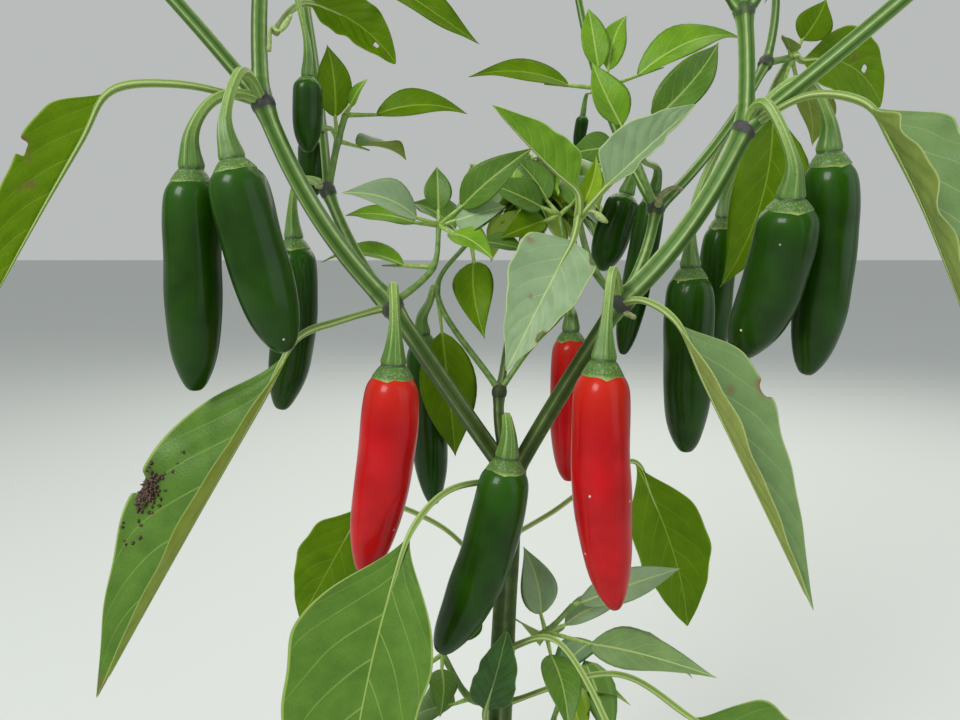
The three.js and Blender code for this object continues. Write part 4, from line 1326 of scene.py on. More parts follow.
@dataclass
class Pod:
    """A chilli: a long blunt pod, glossy and slightly uneven, hanging from a ribbed stalk and calyx."""

    plan: PodPlan
    skeleton: Skeleton
    node: str = ""
    sides: int = 14
    ring_step: float = 4.0
    # under the calyx and below it, to where the pod is full: share of its length, share of its radius
    shoulder: tuple[Row, ...] = ((0.0, 0.36), (0.03, 0.53), (0.055, 0.68), (0.074, 0.8), (0.1, 0.9),
                                 (0.14, 0.97), (0.24, 1.0))
    # the calyx, a straight-sided cone from the pinch to its rim: share of the length, share of the radius
    cap: tuple[Row, ...] = ((0.0, 0.4), (0.009, 0.5), (0.03, 0.62), (0.052, 0.73), (0.071, 0.82),
                            (0.076, 0.81), (0.064, 0.74))
    # the rings stand evenly until this share of the length, and then draw closer
    even_until: float = 0.93
    tip_shares: Row = (0.945, 0.972, 0.99)
    # the painted light on the shoulder, a lighter colour under the calyx, fades out over these shares of the
    # length
    lit_shoulder: Row = (0.34, 0.04)
    uneven: float = 0.3
    stalk_sides: int = 12
    rib: float = 0.66
    # the stalk's way: how far out it leaves and how much it lifts, and how long it runs straight into the pod
    leaving: float = 0.4
    lift: float = 3.0
    lead_in: float = 11.0
    # the stalk's swelling at its foot, and its flare towards the calyx
    foot_swell: float = 0.3
    foot_reach: float = 3.0
    flare: float = 0.49
    flare_reach: float = 17.0
    flare_power: float = 1.4
    # the pinch above the calyx: how far above it, and its share of the pod's radius
    pinch_above: float = 0.9
    pinch: float = 0.56
    rib_spread: float = 1.12
    tint_reach: float = 26.0
    rim_rings: int = 3
    # how far every other pair of the rim's corners is drawn out, and the corners between drawn back
    teeth: Row = (0.005, 0.003)
    roundness: float = 0.75

    def curve(self) -> Callable[[float], Point]:
        """The pod's bowed middle.

        Returns:
            The place at a share of its length from the calyx, as a function.
        """
        calyx, tip = vec(self.plan.calyx), vec(self.plan.tip)
        bow = unit(np.cross(tip - calyx, vec((0, 1, 0)))) * self.plan.bend
        control = (calyx + tip) / 2 + 2 * bow
        return lambda s: (1 - s) ** 2 * calyx + 2 * s * (1 - s) * control + s * s * tip

    def width(self, share: float) -> float:
        """How thick the body is along its length.

        Args:
            share: share of its length from the calyx.

        Returns:
            The radius there as a share of its greatest.
        """
        full = self.plan.full_until
        neck = float(np.interp(share, *zip(*self.shoulder)))
        past = max(0.0, share - full) / (1 - full)
        return neck * (1 - past ** self.plan.power) ** self.plan.bluntness

    def build(self) -> None:
        """Build the pod's body, and its stalk with the calyx."""
        plan = self.plan
        curve = self.curve()
        length = float(norm(vec(plan.tip) - vec(plan.calyx)))
        neck = [share for share, _ in self.shoulder]
        even = np.arange(neck[-1], self.even_until, self.ring_step / length)
        shares = [*neck[:-1], *even, *self.tip_shares]
        line = np.array([curve(s) for s in shares])
        radii = np.array([self.width(s) for s in shares]) * plan.radius / section_loss(self.sides)
        body = hand_loft(plan.name + "_body", line, radii, self.sides)
        subdivide(body, 2)
        points = coords(body)
        points += self.unevenness(points, line)
        set_coords(body, points)
        # nearness to the calyx, where the skin is painted lighter as light on the shoulder
        near = smoothstep(*self.lit_shoulder, norm(points - line[0], axis=1) / length)
        set_marks(body.data, np.stack([near, near, near, near], 1))
        body.data.materials.append(POD_SKINS[plan.ripeness])
        dress(body, plan.ripeness.value, self.node or plan.name)
        self.build_stalk(curve, length)
        self.skeleton.block(plan.calyx, plan.tip, plan.radius)

    def unevenness(self, points: Point, line: Point) -> Point:
        """Small slow dents and swellings of the body.

        Args:
            points: its vertices.
            line: the pod's middle.

        Returns:
            How each vertex moves outwards from the line.
        """
        ring = norm(points[:, None] - line[None], axis=2).argmin(1)
        out = unit(points - line[ring])
        phase = sum(map(ord, self.plan.name)) * 0.7
        waves = (np.sin(points @ vec((0.31, 0.22, 0.17)) + phase)
                 + np.sin(points @ vec((-0.2, 0.35, 0.11)) - phase)
                 + 0.7 * np.sin(points @ vec((0.1, -0.28, 0.3)) + 2 * phase))
        return out * (waves * self.uneven * self.plan.radius / 30)[:, None]

    def build_stalk(self, curve: Callable[[float], Point], length: float) -> None:
        """Build the arched stalk, its flare, the pinch above the calyx, and the calyx with its teeth.

        Args:
            curve: the pod's middle.
            length: the pod's length.
        """
        plan, name = self.plan, self.plan.name + "_stalk"
        start = self.skeleton.start_point(plan.start)
        over, calyx = vec(plan.over), curve(0.0)
        lead_in = min(self.lead_in, 0.5 * norm(over - calyx))
        into_pod = unit(curve(0.1) - calyx)
        leaving = start + self.leaving * (over - start) + vec((0, 0, self.lift))
        line, _ = smooth_line([start, leaving, over, calyx - into_pod * lead_in, calyx], self.ring_step)
        run = lengths(line)
        stalk = PEDICEL_RADIUS * min(1, plan.radius / FULL_POD_RADIUS)
        foot = 1 + self.foot_swell * np.exp(-(run / self.foot_reach) ** 2)
        flare = np.clip(1 - (run[-1] - run) / self.flare_reach, 0, 1) ** self.flare_power
        radii = stalk * foot + (self.flare * plan.radius - stalk) * flare
        line = np.vstack([line[:-1], calyx - into_pod * self.pinch_above, [curve(s) for s, _ in self.cap]])
        shares = np.array([self.pinch, *(share for _, share in self.cap)])
        radii = np.concatenate([radii[:-1] * self.rib_spread, shares * plan.radius])
        rings = len(radii)
        piece = hand_loft(name, line, radii, self.stalk_sides, self.rib)
        self.shape_calyx(piece, line, rings, length)
        ring_uv(piece, line, self.stalk_sides)
        corner = np.arange(rings * self.stalk_sides)
        ring = corner // self.stalk_sides
        on_cap = ring >= rings - len(self.cap)
        rib = np.where(on_cap, ring >= rings - self.rim_rings, corner % 2 == 0)
        near = smoothstep(-self.tint_reach, 0, lengths(line)[ring] - run[-1])
        pinched = ring == rings - len(self.cap)
        set_marks(piece.data, np.stack([rib, near, on_cap, pinched], 1).astype(float))
        subdivide(piece, 2)
        piece.data.materials.append(STALK_SKIN)
        dress(piece, "stem", self.node or plan.name)

    def shape_calyx(self, piece: Piece, line: Point, rings: int, length: float) -> None:
        """Smooth the ribs away on the calyx, and draw its rim out into small teeth.

        Args:
            piece: the stalk, stored ring by ring.
            line: middle of each ring.
            rings: number of rings.
            length: the pod's length.
        """
        points = coords(piece).reshape(rings, self.stalk_sides, 3)
        along = directions(line)
        for k in range(rings - len(self.cap), rings):
            offset = points[k] - line[k]
            reach = norm(offset, axis=1, keepdims=True)
            even = 1 - self.roundness + self.roundness * reach[0] / reach
            points[k] = line[k] + offset * even / section_loss(self.stalk_sides)
            if k >= rings - self.rim_rings:
                points[k, ::4] += along[k] * self.teeth[0] * length
                points[k, 1::2] -= along[k] * self.teeth[1] * length
        set_coords(piece, points.reshape(-1, 3))


@dataclass
class BigLeaf:
    """A large leaf: a folded, quilted blade with bites and scars, whose grooved stalk runs on as midrib."""

    plan: LeafPlan
    skeleton: Skeleton
    node: str = ""
    rows: int = 44
    columns: int = 20
    thickness: float = 0.45
    quilt: float = 0.3
    # the first and last row's share of the length, and how far the rows draw closer towards both
    ends: Row = (0.004, 0.998)
    closing: float = 0.3
    # in radii: what a bite takes, what is drawn to its edge, and where its brown rim ends and is full
    hole: Row = (0.6, 1.25)
    hole_rim: Row = (1.5, 1.05)
    scar_core: float = 0.4
    scar_depth: float = 0.8
    # swollen where it leaves the stem and where the blade begins, and then ever thinner
    stalk_form: Row = (1.8, 1.3, 1.0, 1.2, 0.85, 0.45, 0.18)
    stalk_sides: int = 8
    stalk_step: float = 4.0
    stalk_groove: float = 0.64
    rib_spread: float = 1.15
    rib_under: float = 0.35
    rib_shares: Row = (0.2, 0.5, 0.8, 0.95)
    wings: float = 0.4
    wander: float = 0.028

    def frame(self) -> tuple[Point, Point, Point]:
        """How the blade lies.

        Returns:
            Its foot, the way across it and the way it faces.
        """
        foot, tip = vec(self.plan.foot), vec(self.plan.tip)
        across = unit(np.cross(tip - foot, vec(self.plan.facing)))
        return foot, across, unit(np.cross(across, tip - foot))

    def midrib(self, s: np.ndarray) -> Point:
        """The blade's middle line.

        Args:
            s: shares of its length.

        Returns:
            The places there.
        """
        foot, tip = vec(self.plan.foot), vec(self.plan.tip)
        control = (foot + tip) / 2 + 2 * vec(self.plan.bow)
        s = np.asarray(s, float)[..., None]
        return (1 - s) ** 2 * foot + 2 * s * (1 - s) * control + s ** 2 * tip

    def outline(self, s: np.ndarray) -> np.ndarray:
        """The blade's half width along its length.

        Args:
            s: shares of its length.

        Returns:
            The half widths there, as shares of the greatest.
        """
        plan = self.plan
        peak = plan.base_power / (plan.base_power + plan.tip_power)
        top = peak ** plan.base_power * (1 - peak) ** plan.tip_power
        s = np.clip(s, 0, 1)
        # the foot narrows into wings along the stalk, and the margin wanders
        wings = smoothstep(0, self.wings * plan.base_power, s) ** 0.6
        wander = 1 + self.wander * (np.sin(17 * s + plan.tip[0]) + 0.6 * np.sin(31 * s - plan.tip[2]))
        return s ** plan.base_power * (1 - s) ** plan.tip_power / top * wings * wander

    def surface(self, s: np.ndarray, t: np.ndarray) -> Point:
        """Points of the blade.

        Args:
            s: shares of the length, foot to tip.
            t: shares of the half width, -1 to 1.

        Returns:
            The points, with the same leading shape.
        """
        plan = self.plan
        _, across, face = self.frame()
        first = t >= 0
        out = np.abs(t)
        half = np.where(first, plan.widths[0], plan.widths[1]) * self.outline(s)
        angle = np.radians(np.where(first, plan.lifts[0], plan.lifts[1])
                           + np.where(first, plan.curls[0], plan.curls[1]) * out)
        ripple = np.sin(s * 21 + plan.tip[0]) + 0.6 * np.sin(s * 37 + 2 * first)
        ripple = plan.wave * half * out ** 2 * ripple
        phase = (s - VEIN_LAG * out - VEIN_SWEEP * out ** 2 + VEIN_STAGGER * first) * VEINS
        middle = np.sin(np.pi * np.clip(s, 0, 1)) * np.sin(np.pi * out) ** 0.8
        swell = self.quilt * middle * np.cos(2 * np.pi * phase)
        side = (np.where(first, 1.0, -1.0) * np.cos(angle) * out * half)[..., None]
        rise = (np.sin(angle) * out * half)[..., None]
        normal_side = (-np.where(first, 1.0, -1.0) * np.sin(angle))[..., None]
        normal = across * normal_side + face * np.cos(angle)[..., None]
        return self.midrib(s) + across * side + face * rise + normal * (ripple + swell)[..., None]

    def build(self) -> None:
        """Build the blade and its stalk."""
        plan = self.plan
        deselect()
        bpy.ops.mesh.primitive_grid_add(x_subdivisions=self.columns, y_subdivisions=self.rows, size=2)
        blade = bpy.context.object
        blade.name = blade.data.name = plan.name + "_blade"
        grid = coords(blade) * MM
        # rows draw closer towards foot and tip, where the outline turns fastest
        even = (grid[:, 1] + 1) / 2
        closer = (1 - np.cos(np.pi * even)) / 2
        first, last = self.ends
        s = first + (last - first) * (even + self.closing * (closer - even))
        t = grid[:, 0]
        points = self.surface(s, t)
        gone, scar = self.damage(points)
        set_coords(blade, points)
        half = np.where(t >= 0, plan.widths[0], plan.widths[1]) * self.outline(s)
        set_marks(blade.data, np.stack([t, s, scar, half / 100], 1))
        if gone.any():
            for parts in (blade.data.edges, blade.data.polygons):
                parts.foreach_set("select", [False] * len(parts))
            blade.data.vertices.foreach_set("select", gone)
            bpy.ops.object.mode_set(mode="EDIT")
            bpy.ops.mesh.delete(type="VERT")
            bpy.ops.object.mode_set(mode="OBJECT")
        for material in BLADES[plan.tone]:
            blade.data.materials.append(material)
        solid = blade.modifiers.new("Thickness", "SOLIDIFY")
        solid.thickness = self.thickness * MM
        solid.offset = 0
        solid.material_offset = 1
        subdivide(blade, 1)
        dress(blade, "foliage" if self.node else "large_leaf", self.node or plan.name)
        self.build_stalk()

    def damage(self, points: Point) -> tuple[np.ndarray, np.ndarray]:
        """Bite out the holes and mark the scars.

        Args:
            points: the blade's vertices, of which those round a hole are moved to its edge.

        Returns:
            Which vertices are eaten, and how brown each one is.
        """
        gone, scar = np.zeros(len(points), bool), np.zeros(len(points))
        inside, outside = self.hole
        marks = [(mark, True) for mark in self.plan.nibbles] + [(mark, False) for mark in self.plan.scars]
        for mark, eaten in marks:
            centre = self.surface(np.array([mark.along]), np.array([mark.across]))[0]
            offset = points - centre
            reach = norm(offset, axis=1) / mark.radius
            if eaten:
                gone |= reach < inside
                edge = (reach >= inside) & (reach < outside)
                points[edge] = centre + offset[edge] / reach[edge, None]
                scar = np.maximum(scar, smoothstep(*self.hole_rim, reach))
            else:
                scar = np.maximum(scar, self.scar_depth * smoothstep(1, self.scar_core, reach))
        return gone, scar

    def build_stalk(self) -> None:
        """Build the stalk, which runs on under the blade as its midrib."""
        plan = self.plan
        _, _, face = self.frame()
        rib = [self.midrib(np.array([s]))[0] - face * self.rib_under for s in self.rib_shares]
        knots = [self.skeleton.start_point(plan.start), vec(plan.over), vec(plan.foot), *rib]
        line, marks = smooth_line(knots, self.stalk_step)
        run = lengths(line)
        foot = run[marks[2]]
        places = (0, 4, 12, foot - 4, foot + 6, foot + 0.5 * (run[-1] - foot), run[-1])
        radii = PETIOLE_RADIUS * np.interp(run, places, self.stalk_form)
        radii *= self.rib_spread
        piece = hand_loft(plan.name + "_stalk", line, radii, self.stalk_sides, self.stalk_groove)
        ring_uv(piece, line, self.stalk_sides)
        rib = (np.arange(len(piece.data.vertices)) % 2 == 0).astype(float)
        set_marks(piece.data, np.stack([rib, 0 * rib, 0 * rib, 0 * rib], 1))
        subdivide(piece, 1)
        piece.data.materials.append(LEAFSTALK_SKIN)
        dress(piece, "foliage" if self.node else "large_leaf", self.node or plan.name)


@dataclass(frozen=True)
class Twiglet:
    """A bud, or the stub of a twig that dropped off."""

    name: str
    node: str
    knots: tuple[Row, ...]
    radii: Row
    skin: str
    sides: int = 8
    step: float = 1.2

    def build(self) -> None:
        """Build it along a smooth line, its radii spread evenly over the length."""
        line, _ = smooth_line(list(self.knots), self.step)
        run = lengths(line)
        radii = np.interp(run / run[-1], np.linspace(0, 1, len(self.radii)), self.radii)
        piece = hand_loft(self.name, line, radii / section_loss(self.sides), self.sides)
        subdivide(piece, 1)
        piece.data.materials.append(TWIGLET_SKINS[self.skin])
        dress(piece, "stem", self.node)


TWIGLETS = tuple(Twiglet(*row) for row in (
    ("heart_bud", "spray_right_heart",
     ((29, -4, 403), (32.5, -6, 406), (35.5, -6, 405), (37, -6, 403.5), (40, -6, 401.5)),
     (0.8, 0.6, 0.6, 0.6, 1.4, 1.3, 0.4), "bud"),
    ("left_bud_twig", "left_upright",
     ((-82, -14, 460), (-80, -16, 468), (-77.5, -17, 466), (-72.8, -16, 472)),
     (0.9, 0.7, 0.6, 0.6, 1.2, 0.5), "bud"),
    ("right_curled_stub", "right_thin_limb", ((61, 6, 408), (62, 2, 413), (66, 1, 415), (69.5, 2, 414)),
     (1.5, 1.1, 0.9, 0.8), "stub"),
    ("right_low_stub", "right_bough", ((45, -14, 369), (48, -16, 367.5), (49, -17, 367)),
     (1.4, 1.1, 0.9), "stub"),
    ("left_thin_stub", "left_thin_limb", ((-67, 5, 414), (-70, 4, 416), (-71.5, 4, 415)),
     (1.2, 1.0, 0.8), "stub"),
))


@dataclass
class Droppings:
    """The small heap of dark crumbs that a caterpillar left on a large leaf."""

    leaf: BigLeaf
    along: float = 0.56
    across: float = 0.76
    spread: Row = (0.14, 0.06)
    crumbs: int = 150
    size: float = 0.75
    heap: float = 1.6
    strays: float = 0.18
    # how much further out a stray lies, how near the margin at most, and the least height of all
    astray: float = 2.6
    margin: float = 0.92
    rise: float = 0.4
    seed: int = 7

    def build(self) -> None:
        """Build the crumbs as one piece, thickest in the middle of the heap."""
        random = seeded_numbers(self.seed)
        made = MeshParts()
        _, _, face = self.leaf.frame()
        corners = np.vstack([np.eye(3), -np.eye(3)])
        faces = [(0, 1, 2), (1, 3, 2), (3, 4, 2), (4, 0, 2), (1, 0, 5), (3, 1, 5), (4, 3, 5), (0, 4, 5)]
        for _ in range(self.crumbs):
            side, ahead = random() + random() - 1, random() + random() - 1
            astray = 1.0 if random() > self.strays else self.astray
            share = np.array([self.along + ahead * self.spread[1] * astray])
            across = self.across + side * self.spread[0] * astray
            place = self.leaf.surface(share, np.array([min(across, self.margin)]))[0]
            inward = max(0.0, 1 - (side * side + ahead * ahead) * astray ** 2)
            rise = self.rise + self.heap * random() * inward
            lump = corners * self.size * vec((0.5 + random(), 0.5 + random(), 0.5 + random()))
            made.add(place + face * rise + lump, faces)
        piece = made.object(self.leaf.plan.name + "_droppings", [TWIGLET_SKINS["crumb"]])
        dress(piece, "stem", self.leaf.plan.name)


# A small leaf's outline: how it widens from its foot and narrows to its point, and its widest value
FOOT_POWER, POINT_POWER, WIDEST = 0.75, 1.35, 0.255
# Its stalk's radii at both ends, rings and sides, and how far along and under the blade it runs on
LEAFSTALK_ENDS = (1.2, 0.35)
LEAFSTALK_STEP = 6.0
LEAFSTALK_SIDES = 5
RIB_REACH = 0.25
RIB_UNDER = 0.3


@dataclass(frozen=True)
class SmallLeaf:
    """One leaf of a spray or mass: its stalk's start, its blade, and how it folds, arches and waves."""

    node: Point
    foot: Point
    tip: Point
    width: float
    facing: Point
    arch: float
    tone: int
    fold: float = LEAF_FOLD
    bow: float = 0.0
    wave: float = 0.04
    curl: float = 0.0

    def blade(self, rows: int, columns: Sequence[float],
              thickness: float) -> tuple[Point, list, Point, int]:
        """A closed blade of a few faces in its own outline.

        Args:
            rows: number of rows between foot and tip.
            columns: places across, from -1 to 1.
            thickness: the blade's thickness.

        Returns:
            Its vertices, faces and marks, and the number of the faces that make up its upper side.
        """
        axis = self.tip - self.foot
        length = float(norm(axis))
        across = unit(np.cross(axis, self.facing))
        face = unit(np.cross(across, axis))
        s = (np.arange(rows) + 0.6) / (rows + 0.15)
        t = np.asarray(columns)
        grid_s, grid_t = np.meshgrid(s, t, indexing="ij")
        half = self.width / 2 * grid_s ** FOOT_POWER * (1 - grid_s) ** POINT_POWER / WIDEST
        line = (self.foot + grid_s[..., None] * axis
                + (4 * grid_s * (1 - grid_s) * self.arch * length)[..., None] * face
                + (4 * grid_s * (1 - grid_s) * self.bow * length)[..., None] * across)
        out = np.abs(grid_t)
        lift = half * (self.fold * out + self.wave * out ** 2 * np.sin(9 * grid_s + 40 * self.bow + grid_t)
                       + self.curl * out ** 2 * grid_s)
        top = line + (half * grid_t)[..., None] * across + lift[..., None] * face
        inner = top[:, 1:-1] - face * thickness
        ends = np.array([self.foot, self.tip])
        count, wide = len(s), len(t)
        points = np.vstack([top.reshape(-1, 3), inner.reshape(-1, 3), ends])
        marks = np.stack([grid_t, grid_s, 0 * grid_s, half / 100], -1)
        marks = np.vstack([marks.reshape(-1, 4), marks[:, 1:-1].reshape(-1, 4),
                           [[0, 0, 0, 0.01], [0, 1, 0, 0.01]]])
        foot, tip = count * wide + count * (wide - 2), count * wide + count * (wide - 2) + 1

        def upper(r: int, c: int) -> int:
            """Return a vertex of the upper side."""
            return r * wide + c

        def lower(r: int, c: int) -> int:
            """Return a vertex of the lower side, which shares the margin."""
            return upper(r, c) if c in (0, wide - 1) else count * wide + r * (wide - 2) + c - 1

        faces = []
        for at, turned in ((upper, False), (lower, True)):
            sheet = [(at(r, c), at(r, c + 1), at(r + 1, c + 1), at(r + 1, c))
                     for r in range(count - 1) for c in range(wide - 1)]
            sheet += [(foot, at(0, c + 1), at(0, c)) for c in range(wide - 1)]
            sheet += [(tip, at(count - 1, c), at(count - 1, c + 1)) for c in range(wide - 1)]
            faces += [tuple(reversed(f)) for f in sheet] if turned else sheet
        return points, faces, marks, len(faces) // 2

    def stalk(self) -> Shape:
        """The leaf's thin stalk, which runs on a little under the blade.

        Returns:
            Its vertices and faces.
        """
        axis = self.tip - self.foot
        beyond = self.foot + RIB_REACH * axis - unit(self.facing) * RIB_UNDER
        line, _ = smooth_line([self.node, self.foot, beyond], LEAFSTALK_STEP)
        radii = np.linspace(*LEAFSTALK_ENDS, len(line)) * LEAFSTALK_RADIUS
        return tube(line, radii, LEAFSTALK_SIDES)


# A young pod from its calyx to its tip, and the calyx: share of its length, share of its greatest radius
YOUNG_POD = ((0, 0.35), (0.03, 0.52), (0.06, 0.72), (0.1, 0.88), (0.18, 0.97), (0.35, 1.0), (0.5, 0.99),
             (0.65, 0.95), (0.78, 0.87), (0.88, 0.72), (0.94, 0.55), (0.975, 0.37), (0.993, 0.2), (1.0, 0.06))
YOUNG_CALYX = ((0.0, 0.42), (0.01, 0.6), (0.03, 0.74), (0.06, 0.84))
YOUNG_POD_SIDES = 20


class Tuft:
    """Leaves, twigs and young pods, each kind gathered into one joined piece."""

    def __init__(self, name: str) -> None:
        """Start a tuft.

        Args:
            name: the node that it stands for.
        """
        self.name = name
        self.leaves = MeshParts()
        self.twigs = MeshParts()
        self.pods = MeshParts()

    def add_leaf(self, leaf: SmallLeaf, rows: int, columns: Sequence[float], ribbed: bool) -> None:
        """Add a leaf with its stalk.

        Args:
            leaf: the leaf.
            rows: rows of its blade.
            columns: places across its blade.
            ribbed: whether its middle column takes the pale midrib's finish.
        """
        points, faces, marks, above = leaf.blade(rows, columns, BLADE_THICKNESS)
        upper, under, midrib = (3 * leaf.tone + side for side in range(3))
        finishes = [upper] * above + [under] * (len(faces) - above)
        if ribbed:
            across = len(columns) - 1
            finishes[across // 2:above:across] = [midrib] * len(range(across // 2, above, across))
        self.leaves.add(points, faces, finishes, marks)
        self.twigs.add(*leaf.stalk(), 1)

    def add_twig(self, line: Point, radii: Sequence[float]) -> None:
        """Add a ribbed twig."""
        self.twigs.add(*tube(line, radii, 8, 0.2), 0)

    def add_pod(self, node: Point, over: Point, calyx: Point, tip: Point, radius: float) -> None:
        """Add a young pod on its stalk.

        Args:
            node: where its stalk grows.
            over: a point of the stalk's arch.
            calyx: top of the pod.
            tip: the pod's end.
            radius: its greatest radius.
        """
        shares, widths = np.array(YOUNG_POD).T
        line = calyx + shares[:, None] * (tip - calyx)
        marks = np.repeat(np.clip(1 - shares * 3, 0, 1), YOUNG_POD_SIDES)[:, None] * np.ones(4)
        points, faces = tube(line, widths * radius, YOUNG_POD_SIDES)
        self.pods.add(points, faces, 0, marks)
        stalk = PEDICEL_RADIUS * min(1, radius / FULL_POD_RADIUS)
        arch, _ = smooth_line([node, over, calyx], 3.0)
        down, flare = np.array(YOUNG_CALYX).T
        cap = calyx + down[:, None] * (tip - calyx)
        line = np.vstack([arch[:-1], cap])
        radii = np.concatenate([np.interp(np.arange(len(arch) - 1), [0, 1, len(arch) - 4, len(arch) - 1],
                                          [1.3 * stalk, stalk, stalk, 0.45 * radius]),
                                flare * radius])
        self.twigs.add(*tube(line, radii, YOUNG_POD_SIDES, 0.07), 2)

    def finish(self, blades: Sequence[Material]) -> None:
        """Make the pieces.

        Args:
            blades: the leaves' materials.
        """
        for kind, parts, skins, slot in (
                ("leaves", self.leaves, blades, "foliage"),
                ("twigs", self.twigs, (TWIG_SKIN, PETIOLE_SKIN, PETIOLE_SKIN), "stem"),
                ("pods", self.pods, (YOUNG_POD_SKIN,), GREEN.value)):
            if parts.count:
                dress(parts.object(f"{self.name}_{kind}", skins), slot, self.name)


@dataclass
class Spray:
    """A twig with placed leaves and young pods, as the photograph shows them."""

    plan: SprayPlan
    skeleton: Skeleton
    rows: int = 14
    columns: int = 11
    # least and most of a leaf's fold, bow, wave and curl
    shapes: tuple[Row, ...] = ((0.15, 0.55), (-0.08, 0.08), (0.05, 0.13), (-0.15, 0.15))
    step: float = 3.0
    taper: float = 0.12
    joint_swell: float = 0.25
    pedicel_lift: float = 4.0
    pod_bend: float = 0.02

    def build(self) -> None:
        """Build the spray."""
        plan = self.plan
        tuft = Tuft(plan.name)
        points = np.array([self.skeleton.start_point(plan.start), *map(vec, plan.stem)])
        line, marks = smooth_line(list(points), self.step)
        number = np.arange(len(line))
        radii = np.interp(number, marks, plan.radius * (1 - self.taper * np.arange(len(points))))
        for mark in marks:
            radii = radii * (1 + self.joint_swell * np.exp(-(number - mark) ** 2.0))
        tuft.add_twig(line, radii)
        random = seeded_numbers(sum(map(ord, plan.name)))
        columns = np.linspace(-1, 1, self.columns)
        for number, ((node, x, y, z, width, turn, *rest), tone) in enumerate(zip(plan.leaves, plan.tones)):
            arch, stalk_share = (*rest, *(LEAF_ARCH, STALK_SHARE)[len(rest):])
            start, tip = points[node + 1], vec((x, y, z))
            angle = math.radians(turn)
            facing = vec((FACE_ASIDE, -math.cos(angle), math.sin(angle)))
            foot = start + stalk_share * (tip - start)
            leaf = SmallLeaf(start, foot, tip, width, facing, arch, list(Tone).index(tone),
                             *between(self.shapes, random))
            if (plan.name, number) in CLOSE_LEAVES:
                BigLeaf(CLOSE_LEAVES[plan.name, number], self.skeleton, plan.name).build()
            else:
                tuft.add_leaf(leaf, self.rows, columns, False)
            self.skeleton.block(foot, tip, width / 2)
        for number, (node, calyx, tip, radius, *ripeness) in enumerate(plan.pods):
            start = points[node + 1]
            over = start + (vec(calyx) - start) / 2 + vec((0, 0, self.pedicel_lift))
            pod = PodPlan(f"{plan.name}_pod_{number + 1}", start, over, calyx, tip, radius,
                          self.pod_bend * radius * number, *(ripeness or [GREEN]))
            Pod(pod, self.skeleton, plan.name).build()
        tuft.finish([m for tone in Tone for m in (*BLADES[tone], PETIOLE_SKIN)])
        for a, b in zip(points, points[1:]):
            self.skeleton.block(a, b, plan.radius)


@dataclass(frozen=True)
class Shoot:
    """A growing shoot of a seeded mass."""

    start: Point
    direction: Point
    length: float
    level: int
    azimuth: float


